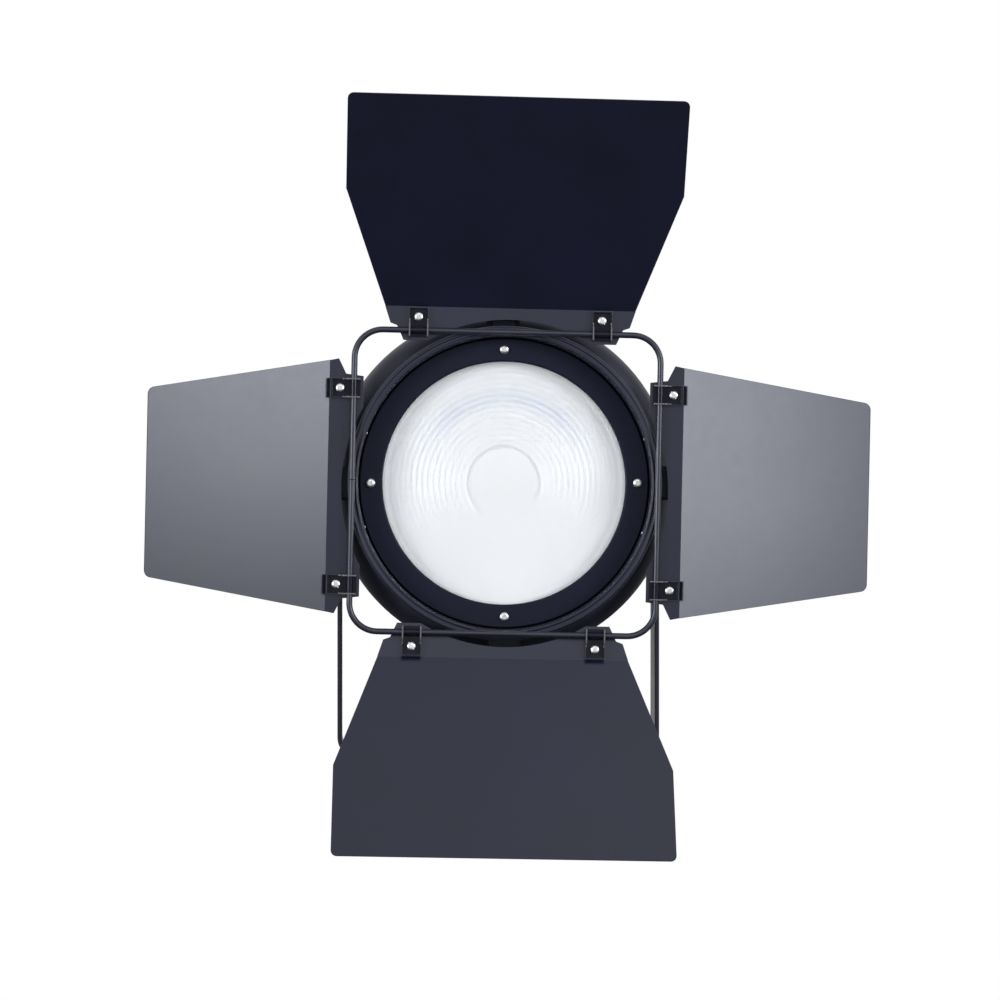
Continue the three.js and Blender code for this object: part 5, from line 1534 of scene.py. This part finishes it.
def leaf_sheet(form, reach):
    """A leaf drawn up from its flange, folded at its strip and cut round the ring."""
    sheet = sizes().leaf_sheet
    (half, low), *others = form["strip"]
    bm = bmesh.new()
    bmesh.ops.create_grid(bm, x_segments=1, y_segments=1, size=0.5)
    moved(bm, at(0, LEAF_FRONT + sheet / 2, low) @ Matrix.Diagonal((2 * half, sheet, 1, 1)))
    end = bm.faces[:][0]
    place = low
    for next_half, next_place in others:
        end = drawn(bm, end, (0, 0, next_place - place), next_half / half)
        half, place = next_half, next_place
    fold = sizes().leaf_fold
    end = swept(bm, end, (0, LEAF_FRONT - LEAF_FOLD_RADIUS, LEAF_FOLD_AT), (1, 0, 0), fold, 4)
    outward = Vector((0, -math.sin(fold), math.cos(fold)))
    place = 0
    for next_half, next_place in form["panel"]:
        end = drawn(bm, end, outward * (next_place - place), next_half / half)
        half, place = next_half, next_place
    far = list(end.verts)
    tidy(bm)
    far_places = [v.co for v in far if v.is_valid]

    def at_far_end(vert):
        return any((vert.co - place).length < WELD for place in far_places)

    far_corners = [
        e for e in bm.edges
        if all(at_far_end(v) for v in e.verts) and abs(e.verts[0].co.x - e.verts[1].co.x) < WELD
    ]
    rounded(bm, far_corners, LEAF_CORNER, 8)
    soften(bm, sizes().sheet_round)
    back = LEAF_FRONT + sheet + OVERRUN
    ring = moved(drill(LEAF_RING_CUT, 0, back, sizes().turn_steps), at(0, 0, -reach))
    holes = [
        moved(drill(SCREW_RADIUS + SEAT, 0, back, 24), at(side * form["clips"], 0, CLIP_SCREW_AT))
        for side in (-1, 1)
    ]
    return cut(bm, ring, *holes)


def hinge_clip():
    """A folded tray with two walls that the rod runs through, and a sleeve on the rod."""
    back = CLIP_FLOOR + CLIP_SHEET
    low = CLIP_FLOOR - CLIP_LOW_WALL
    wall = [
        (back, -CLIP_INNER), (CLIP_FRONT, -CLIP_INNER, 1.8 * MM), (CLIP_FRONT, CLIP_INNER, 1.8 * MM),
        (low, CLIP_INNER + CLIP_LOW_WALL, 1 * MM), (low, CLIP_OUTER), (back, CLIP_OUTER),
    ]
    tray = moved(plate(wall, -CLIP_HALF, CLIP_HALF), SIDEWAYS)
    soften(tray, CLIP_FOLD, segments=4, test=lambda place: place.y > back - WELD)
    soften(tray, 0.2 * MM)
    inside = CLIP_HALF - CLIP_SHEET
    hollow = block(
        (-inside, inside), (CLIP_FRONT - OVERRUN, CLIP_FLOOR),
        (-CLIP_INNER - OVERRUN, CLIP_OUTER - CLIP_SHEET),
    )
    soften(hollow, 0.5 * MM, segments=3, test=lambda place: place.z > 0 and place.y > 0)
    bore = ROD_RADIUS + SEAT
    outer = CLIP_FLOOR - SEAT
    rod_hole = moved(drill(bore, -CLIP_HALF - OVERRUN, CLIP_HALF + OVERRUN, 32), ALONG_X)
    screw_hole = moved(drill(SCREW_RADIUS + SEAT, 0, back + OVERRUN, 24), at(0, 0, CLIP_SCREW_AT))
    sleeve = lathe(
        [(bore, -inside), (outer, -inside), (outer, inside), (bore, inside)], closed=True, steps=32
    )
    clip = together(cut(tray, hollow, rod_hole, screw_hole), moved(sleeve, ALONG_X))
    # Marks the end wall and the walls' front rims for a lighter grey: a painted highlight on the end
    # wall, worn bare metal with a painted highlight on the rims
    rubbed = clip.faces.layers.float.new("bare_edge")
    for face in clip.faces:
        middle = face.calc_center_median()
        end_wall = middle.z > CLIP_OUTER - CLIP_SHEET - WELD and face.normal.y < 0.5
        rim = face.normal.y < -0.5 and abs(middle.x) > inside - WELD and middle.y < CLIP_FLOOR
        face[rubbed] = 1.0 if rim or end_wall else 0.0
    return clip


def clip_screw(slot_turn):
    """A slotted pan-head screw with a nut behind the leaf."""
    nut_face = CLIP_SHEET + sizes().leaf_sheet + 3 * SEAT
    end = nut_face + NUT_HEIGHT
    head = pan_screw(CLIP_HEAD, SCREW_HEAD_HEIGHT, SCREW_RADIUS, end + SEAT)
    reach = CLIP_HEAD + OVERRUN
    slot = block(
        (-reach, reach), (-SCREW_HEAD_HEIGHT - OVERRUN, -SCREW_HEAD_HEIGHT + CLIP_SLOT_DEPTH),
        (-CLIP_SLOT_HALF, CLIP_SLOT_HALF),
    )
    return join(cut(head, moved(slot, about_beam(slot_turn))), hex_head(NUT_RADIUS, nut_face, end))


class LeavesOperator(bpy.types.Operator):
    """Four folded leaves with their hinge clips and screws"""

    bl_idname = "stage_light.leaves"
    bl_label = "Barn Door Leaves"

    def execute(self, context):
        for side, leaf in LEAVES.items():
            place = leaf_place(side)
            x, _, z = JOINTS[f"leaf_{side}_fold"]["pos_m"]
            reach = math.hypot(x, z - BEAM_Z)
            add_fine(f"leaf_{side}", leaf_sheet(leaf["form"], reach), place)
            for i, end in enumerate((-1, 1)):
                clip_at = place @ at(end * leaf["form"]["clips"], 0, 0)
                add_fine(f"hinge_clip_{side}_{i + 1}", hinge_clip(), clip_at)
                screw_at = clip_at @ at(0, CLIP_FLOOR - SEAT, CLIP_SCREW_AT)
                screw = clip_screw(end * CLIP_SLOT_TURN + CLIP_SLOT_STEP * i)
                add_fine(f"clip_screw_{side}_{i + 1}", screw, screw_at)
        return {"FINISHED"}


# Rear cover, handle, switch and inlet


class RearOperator(bpy.types.Operator):
    """Rear cover, carrying handle, power switch and supply inlet"""

    bl_idname = "stage_light.rear"
    bl_label = "Rear Cover and Controls"

    def cover(self):
        """A dished cover with upright slots, the switch's hole and the focus screw's."""
        front, back = COVER_Y
        depth = back - front - COVER_RIM

        def bend(inset, steps):
            return [
                (
                    COVER_FLAT + (FIN_TOP - COVER_FLAT - inset) * math.cos(turn),
                    front + COVER_RIM + (depth - inset) * math.sin(turn),
                )
                for turn in (QUARTER * i / steps for i in range(steps + 1))
            ]

        shell = lathe(
            [
                (0, back - COVER_WALL), *reversed(bend(COVER_WALL, 6)), (FIN_TOP - COVER_WALL, front),
                (FIN_TOP, front, 0.5 * MM), *bend(0, 12), (0, back),
            ]
        )
        through = (back - COVER_WALL - OVERRUN / 2, back + OVERRUN)
        tools = []
        for side in (-1, 1):
            for i in range(COVER_SLOTS):
                x = side * (COVER_SLOT_START + COVER_SLOT_PITCH * i)
                out = COVER_SLOT_FALL_SHARE * i / (COVER_SLOTS - 1)
                half = COVER_SLOT_HALF * math.sqrt(1 - out**2)
                slot = rectangle(COVER_SLOT / 2, -half, half, COVER_SLOT_ROUND)
                tools.append(moved(plate(slot, *through), at(x, 0, COVER_SLOT_MIDDLE)))
        across = SWITCH_HALF_WIDTH + SEAT
        height = SWITCH_HALF_HEIGHT + SWITCH_HOLE_GAP
        switch_hole = block(
            (SWITCH_X - across, SWITCH_X + across), through,
            (SWITCH_Z - height, SWITCH_Z + height),
        )
        tools.append(switch_hole)
        tools.append(moved(drill(FOCUS_RADIUS + SEAT, *through), at(0, 0, DRIVE_Z)))
        return cut(shell, *tools)

    def execute(self, context):
        back = COVER_Y[1]
        add_fine("rear_cover", self.cover())
        facing_back = Matrix.Rotation(HALF_TURN, 4, "X")
        screws = []
        for i in range(4):
            screw = cut(pan_screw(*COVER_SCREW), cross_recess(-COVER_SCREW[1], *COVER_SCREW_RECESS))
            turn = about_beam(QUARTER * i + QUARTER / 2)
            screws.append(moved(screw, turn, at(0, back - SEAT / 3, COVER_SCREW_AT), facing_back))
        add_trim("rear_cover_screws", together(*screws), "rear_cover", "bare_steel")

        foot_back = back + SEAT
        grip = foot_back + HANDLE_REACH
        centre_y = grip - HANDLE_BEND
        low, high = HANDLE_Z
        moves = [
            [(0, centre_y - foot_back, 0)],
            ((0, centre_y, high - HANDLE_BEND), (1, 0, 0), -QUARTER, BEND_STEPS),
            [(0, 0, low - high + 2 * HANDLE_BEND)],
            ((0, centre_y, low + HANDLE_BEND), (1, 0, 0), -QUARTER, BEND_STEPS),
            [(0, foot_back - centre_y, 0)],
        ]
        bar = bent_rod(HANDLE_RADIUS, (0, foot_back, high), (0, 1, 0), moves)
        foot_top = foot_back + HANDLE_FOOT_THICKNESS
        feet = [
            moved(pin(HANDLE_FOOT, foot_back, foot_top, 0.4 * MM, 1.4 * MM, 64), at(0, 0, z))
            for z in HANDLE_Z
        ]
        add_fine("rear_handle", join(bar, *feet))

        rocker = [
            (SWITCH_PROUD + SWITCH_RISE, SWITCH_HALF_HEIGHT, 0.6 * MM),
            (SWITCH_PROUD - SWITCH_RISE / 2, 0, 2 * MM), (SWITCH_PROUD, -SWITCH_HALF_HEIGHT, 0.6 * MM),
            (-SWITCH_DEPTH, -SWITCH_HALF_HEIGHT / 2), (-SWITCH_DEPTH, SWITCH_HALF_HEIGHT / 2),
        ]
        body = moved(plate(rocker, -SWITCH_HALF_WIDTH, SWITCH_HALF_WIDTH, edge=0.3 * MM), SIDEWAYS)
        add_fine("power_switch", body, HEAD @ at(SWITCH_X, back, SWITCH_Z))
        on_mark = block(
            (-ON_MARK_HALF, ON_MARK_HALF), (0, ON_MARK_DEPTH + SEAT), ON_MARK_Z, 0.1 * MM
        )
        inner, outer = OFF_MARK_RADIUS
        mark_top = OFF_MARK_DEPTH
        off_mark = lathe(
            [(inner, 0), (outer, 0), (outer, mark_top, 0.1 * MM), (inner, mark_top, 0.1 * MM)],
            closed=True, steps=32,
        )
        marks = together(on_mark, moved(off_mark, at(0, 0, OFF_MARK_Z)))
        place = HEAD @ at(SWITCH_X, back + SWITCH_MARK_OUT, SWITCH_Z)
        add_trim("switch_marks", marks, "power_switch", "ceramic", place)
        rim = rectangle(
            SWITCH_HALF_WIDTH + SWITCH_FRAME, -(SWITCH_HALF_HEIGHT + SWITCH_FRAME),
            SWITCH_HALF_HEIGHT + SWITCH_FRAME, 2 * MM,
        )
        blank = plate(rim, back + 0.02 * MM, back + SWITCH_FRAME_PROUD, edge=0.3 * MM)
        across = SWITCH_HALF_WIDTH + SEAT
        height = SWITCH_HALF_HEIGHT + SWITCH_FRAME_GAP
        opening = block((-across, across), (back - OVERRUN, back + OVERRUN), (-height, height))
        place = HEAD @ at(SWITCH_X, 0, SWITCH_Z)
        add_trim("switch_frame", cut(blank, opening), "rear_cover", "black_plastic", place)

        face = BASE_Y[1] + SEAT
        inlet = HEAD @ at(0, 0, INLET_Z)
        half = INLET_FLANGE_HALF
        flange = plate(rectangle(half, -half, half, 2 * MM), face, face + INLET_FLANGE, edge=0.3 * MM)
        shell = pin(INLET_RADIUS, face, face + INLET_LENGTH, round_high=0.6 * MM, steps=64)
        well = drill(INLET_RADIUS - INLET_WALL, face + INLET_FLANGE, face + INLET_LENGTH + OVERRUN, 64)
        add_fine("supply_inlet", cut(join(flange, shell), well), inlet)
        low, high = face + INLET_FLANGE - SEAT, face + INLET_LENGTH - INLET_PIN_SHORT
        pins = []
        for i in range(INLET_PINS):
            contact = pin(INLET_PIN_RADIUS, low, high, round_high=0.8 * MM, steps=24)
            turn = about_beam(FULL_TURN * i / INLET_PINS)
            pins.append(moved(contact, turn, at(0, 0, INLET_PIN_AT)))
        add_trim("inlet_pins", together(*pins), "supply_inlet", "bare_steel", inlet)
        return {"FINISHED"}


# Base housing and vent hood


class BaseOperator(bpy.types.Operator):
    """Base housing under the barrel, and the slotted vent hood on top"""

    bl_idname = "stage_light.base"
    bl_label = "Base Housing and Vent Hood"

    def saddle(self):
        """A cutter for the round of the barrel that both rest on."""
        return drill(FIN_TOP + SEAT, BASE_Y[0] - OVERRUN, BASE_Y[1] + OVERRUN, sizes().turn_steps)

    def base(self):
        """A trough under the barrel, with a bracket for the focus drive at each end."""
        low, high = BASE_Y
        wall = BASE_WALL
        inside = BASE_HALF - wall
        outer = mirrored([(BASE_HALF, BASE_BOTTOM, BASE_CORNER), (BASE_HALF, 0)])
        inner = mirrored([(inside, BASE_BOTTOM + wall, BASE_CORNER - wall), (inside, OVERRUN)])
        shell = plate(outer, low, high, edge=CAST_EDGE)
        trough = cut(shell, plate(inner, low + wall, high - wall), self.saddle())
        brackets = [
            block((-BRACKET_HALF, BRACKET_HALF), pair, (BASE_BOTTOM + wall / 2, BRACKET_TOP))
            for pair in ((low + SEAT / 3, low + BRACKET), (high - BRACKET, high - SEAT / 3))
        ]
        holes = [
            moved(drill(GUIDE_RADIUS + SEAT, low + BRACKET / 3, high - BRACKET / 3), at(x, 0, DRIVE_Z))
            for x in (-GUIDE_X, GUIDE_X)
        ]
        drive_hole = drill(FOCUS_RADIUS + SEAT, low - OVERRUN, high + OVERRUN)
        inlet_hole = drill(INLET_RADIUS + SEAT - INLET_WALL, 0, high + OVERRUN)
        holes.append(moved(drive_hole, at(0, 0, DRIVE_Z)))
        holes.append(moved(inlet_hole, at(0, 0, INLET_Z)))
        return cut(join(trough, *brackets), *holes)

    def hood(self):
        """A hood with cut corners and a row of slots across its top."""
        low, high = VENT_Y
        cut_in = VENT_CHAMFER
        outer = mirrored(
            [
                (VENT_HALF, 0), (VENT_HALF, VENT_TOP - cut_in, VENT_ROUND),
                (VENT_HALF - cut_in, VENT_TOP, VENT_ROUND),
            ]
        )
        wall = VENT_WALL
        third = wall / 3
        inner = mirrored(
            [
                (VENT_HALF - wall, -OVERRUN),
                (VENT_HALF - wall, VENT_TOP - cut_in - third, VENT_INNER_ROUND),
                (VENT_HALF - cut_in - third, VENT_TOP - wall, VENT_INNER_ROUND),
            ]
        )
        pitch = (high - low) / (VENT_SLOTS + 1)
        top = VENT_TOP - wall - OVERRUN / 2
        slots = []
        for i in range(VENT_SLOTS):
            slot = rectangle(VENT_SLOT_HALF, -VENT_SLOT / 2, VENT_SLOT / 2, VENT_SLOT_ROUND)
            lying = plate(slot, top, VENT_TOP + OVERRUN)
            slots.append(moved(lying, at(0, low + pitch * (i + 1), 0), ALONG_Z))
        hollow = plate(inner, low + wall, high - wall)
        return cut(plate(outer, low, high, edge=CAST_EDGE), hollow, self.saddle(), *slots)

    def execute(self, context):
        add_fine("base_housing", self.base())
        add_fine("top_vent", self.hood())
        screws = []
        for side in (-1, 1):
            for y in BASE_SCREW_Y:
                screw = cut(pan_screw(*BASE_SCREW), cross_recess(-BASE_SCREW[1], *BASE_SCREW_RECESS))
                place = at(side * (BASE_HALF + 0.01 * MM), y, BASE_SCREW_Z)
                screws.append(moved(screw, place, Matrix.Rotation(side * QUARTER, 4, "Z")))
        add_trim("base_screws", together(*screws), "base_housing", "bare_steel")
        return {"FINISHED"}


# Focus drive and lamp


class LampOperator(bpy.types.Operator):
    """Focus screw, knob and guide rods, with the lamp and mirror on their carriage"""

    bl_idname = "stage_light.lamp"
    bl_label = "Focus Drive and Lamp"

    def carriage(self):
        """A block on the rods and screw, with an arm and post that hold the mirror."""
        half_x, half_y, half_z = CARRIAGE_HALF
        edge = sizes().edge_round
        top = DRIVE_Z + half_z
        body = block((-half_x, half_x), (-half_y, half_y), (DRIVE_Z - half_z, top), edge)
        width = (-POST_HALF, POST_HALF)
        arm = block(width, (half_y - POST, MIRROR_RADIUS), (top - POST, top), edge)
        post = block(width, (MIRROR_RADIUS - POST, MIRROR_RADIUS), (top - POST, POST_TOP), edge)
        reach = MIRROR_RADIUS + OVERRUN
        bores = [moved(drill(FOCUS_RADIUS + SEAT, -reach, reach), at(0, 0, DRIVE_Z))]
        for x in (-GUIDE_X, GUIDE_X):
            guide = drill(GUIDE_RADIUS + SEAT, -reach, MIRROR_RADIUS)
            bores.append(moved(guide, at(x, 0, DRIVE_Z)))
        return cut(join(body, arm, post), *bores)

    def mirror(self):
        """A bowl round the lamp's centre, with the tongue that stands on the post."""

        def bowl(radius, steps=12):
            return [
                (radius * math.sin(turn), radius * math.cos(turn))
                for turn in (MIRROR_HALF_ANGLE * i / steps for i in range(steps + 1))
            ]

        inside = MIRROR_RADIUS - MIRROR_WALL
        shell = lathe([*bowl(MIRROR_RADIUS), *reversed(bowl(inside))], steps=64)
        front = MIRROR_RADIUS - POST - SEAT - MIRROR_WALL
        tongue = block((-POST_HALF, POST_HALF), (front, front + MIRROR_WALL), (POST_TOP - POST, 0))
        ball = bmesh.new()
        bmesh.ops.create_uvsphere(ball, u_segments=64, v_segments=32, radius=inside + MIRROR_WALL / 2)
        return join(shell, cut(tongue, ball))

    def bulb(self):
        """A round envelope on its stem and base, with a tip."""
        bottom = DRIVE_Z + CARRIAGE_HALF[2] + LAMP_SOCKET_HEIGHT + 2 * SEAT
        round_part = [
            (max(BULB_RADIUS * math.sin(turn), BULB_TIP_RADIUS), -BULB_HALF * math.cos(turn))
            for turn in (HALF_TURN * (i + 1) / 14 for i in range(13))
        ]
        base_top = bottom + LAMP_BASE_HEIGHT
        return lathe(
            [
                (0, bottom), (LAMP_BASE_RADIUS, bottom, 0.6 * MM),
                (LAMP_BASE_RADIUS, base_top, 0.8 * MM), (LAMP_STEM_RADIUS, base_top),
                (LAMP_STEM_RADIUS, -BULB_HALF), *round_part,
                (BULB_TIP_RADIUS, BULB_TIP, 3 * MM), (0, BULB_TIP),
            ],
            steps=48,
        )

    def execute(self, context):
        drive = HEAD @ at(0, 0, DRIVE_Z)
        for side, x in (("left", -GUIDE_X), ("right", GUIDE_X)):
            rod = pin(GUIDE_RADIUS, *GUIDE_Y)
            add_fine(f"guide_rod_{side}", rod, drive @ at(x, 0, 0))
        screw = threaded(FOCUS_RADIUS, BASE_Y[0], FOCUS_END)
        add_fine("focus_screw", screw, drive)

        face = COVER_Y[1] + SEAT
        end = face + FOCUS_KNOB_LENGTH
        rim, dish, dish_depth = FOCUS_KNOB_DISH
        blank = [
            (0, face), (FOCUS_KNOB_RADIUS, face, 0.6 * MM), (FOCUS_KNOB_RADIUS, end, 1.6 * MM),
            (rim, end, 0.4 * MM), (dish, end - dish_depth, 0.4 * MM), (0, end - dish_depth),
        ]
        groove = drill(FOCUS_KNOB_RIB, face + FOCUS_KNOB_PLAIN, end + OVERRUN, 10)
        groove = moved(groove, at(0, 0, FOCUS_KNOB_RADIUS))
        bore = drill(FOCUS_RADIUS + SEAT, face - OVERRUN, FOCUS_END + SEAT)
        knob = cut(lathe(blank, steps=144), around(groove, FOCUS_KNOB_RIBS), bore)
        add_fine("focus_knob", knob, drive)

        lamp = HEAD @ at(0, LAMP_Y, 0)
        add_fine("lamp_carriage", self.carriage(), lamp)
        add_fine("lamp_mirror", self.mirror(), lamp)
        bottom = DRIVE_Z + CARRIAGE_HALF[2] + SEAT
        half = LAMP_SOCKET_HALF
        socket = block((-half, half), (-half, half), (bottom, bottom + LAMP_SOCKET_HEIGHT), 1.2 * MM)
        add_fine("lamp_socket", socket, lamp)
        add_fine("lamp_bulb", moved(self.bulb(), ALONG_Z), lamp)
        return {"FINISHED"}


# Studio


def soft_box(name, place, towards, size, watts):
    """A square soft light that faces a point."""
    lamp = bpy.data.lights.new(name, "AREA")
    lamp.shape = "SQUARE"
    lamp.size = size
    lamp.energy = watts
    lamp.spread = LAMP_SPREAD
    item = bpy.data.objects.new(name, lamp)
    item.location = place
    item.rotation_euler = (Vector(towards) - Vector(place)).to_track_quat("-Z", "Y").to_euler()
    bpy.context.scene.collection.objects.link(item)


class StudioOperator(bpy.types.Operator):
    """Camera at the photograph's angle, soft lamps, pale floor and white surroundings"""

    bl_idname = "stage_light.studio"
    bl_label = "Studio"

    def execute(self, context):
        scene = context.scene
        look = studio()
        camera = bpy.data.cameras.new("camera")
        camera.lens = CAMERA_LENS
        camera.sensor_width = CAMERA_SENSOR
        camera.shift_x, camera.shift_y = CAMERA_SHIFT
        camera.clip_end = CAMERA_REACH
        eye = bpy.data.objects.new("camera", camera)
        glass = Vector((0, COLLAR_FRONT, BEAM_Z))
        away = Vector((math.sin(look.azimuth), -math.cos(look.azimuth), 0))
        eye.location = glass + look.distance * away
        eye.rotation_euler = (QUARTER, 0, look.azimuth)
        scene.collection.objects.link(eye)
        scene.camera = eye

        for name, (x, y, lift), aim, size, power in LAMPS:
            soft_box(name, (x, y, BEAM_Z + lift), (*aim, BEAM_Z), size, getattr(look, power))

        floor_mesh = bpy.data.meshes.new("floor")
        bm = bmesh.new()
        bmesh.ops.create_circle(
            bm, cap_ends=True, radius=FLOOR_RADIUS, segments=96, matrix=at(0, 0, FLOOR_Z)
        )
        bm.to_mesh(floor_mesh)
        bm.free()
        floor = bpy.data.objects.new("floor", floor_mesh)
        scene.collection.objects.link(floor)
        material, tree, shader = new_finish("pale_floor")
        speckle = noise(tree, object_place(tree), 40, 4, 0.6)
        tone = blend(tree, spread(tree, speckle, 0, 1), (0.80, 0.80, 0.80, 1), (0.84, 0.84, 0.84, 1))
        fed(tree, shader.inputs["Base Color"], tone)
        shader.inputs["Roughness"].default_value = 0.8
        floor_mesh.materials.append(material)

        world = bpy.data.worlds.new("studio")
        world.use_nodes = True
        scene.world = world
        tree = world.node_tree
        rays = node(tree, "LightPath").outputs
        seen = sum_of(tree, "MAXIMUM", rays["Is Camera Ray"], rays["Is Glossy Ray"])
        seen = sum_of(tree, "MAXIMUM", seen, rays["Is Transmission Ray"])
        background = tree.nodes["Background"]
        background.inputs["Color"].default_value = (1, 1, 1, 1)
        fed(tree, background.inputs["Strength"], spread(tree, seen, look.ambient, 1.0, 0.0, 1.0))
        scene.view_settings.view_transform = "Standard"
        return {"FINISHED"}


# Panel and registration

STEPS = (
    StandSocketOperator, YokeOperator, TiltPivotOperator, BarrelOperator, BezelOperator,
    EarsOperator, GlassOperator, DoorFrameOperator, LeavesOperator, RearOperator, BaseOperator,
    LampOperator, StudioOperator,
)


class StageLightPanel(bpy.types.Panel):
    """Sizes, colours and building steps of the stage light"""

    bl_idname = "VIEW3D_PT_stage_light"
    bl_label = "Stage Light"
    bl_space_type = "VIEW_3D"
    bl_region_type = "UI"
    bl_category = "Stage Light"

    def draw(self, context):
        scene = context.scene
        for group in (scene.stage_light_sizes, scene.stage_light_colours, scene.stage_light_studio):
            box = self.layout.box()
            for name in group.bl_rna.properties.keys():
                if name not in ("rna_type", "name"):
                    box.prop(group, name)
        for step in STEPS:
            self.layout.operator(step.bl_idname)


GROUPS = {
    "stage_light_sizes": StageLightSizes,
    "stage_light_colours": StageLightColours,
    "stage_light_studio": StageLightStudio,
}


def register():
    for kind in (*GROUPS.values(), *STEPS, StageLightPanel):
        bpy.utils.register_class(kind)
    for name, kind in GROUPS.items():
        setattr(bpy.types.Scene, name, PointerProperty(type=kind))


def unregister():
    for name in GROUPS:
        delattr(bpy.types.Scene, name)
    for kind in reversed((*GROUPS.values(), *STEPS, StageLightPanel)):
        bpy.utils.unregister_class(kind)


def main():
    register()
    for step in STEPS:
        group, name = step.bl_idname.split(".")
        getattr(getattr(bpy.ops, group), name)()


if __name__ == "__main__":
    main()
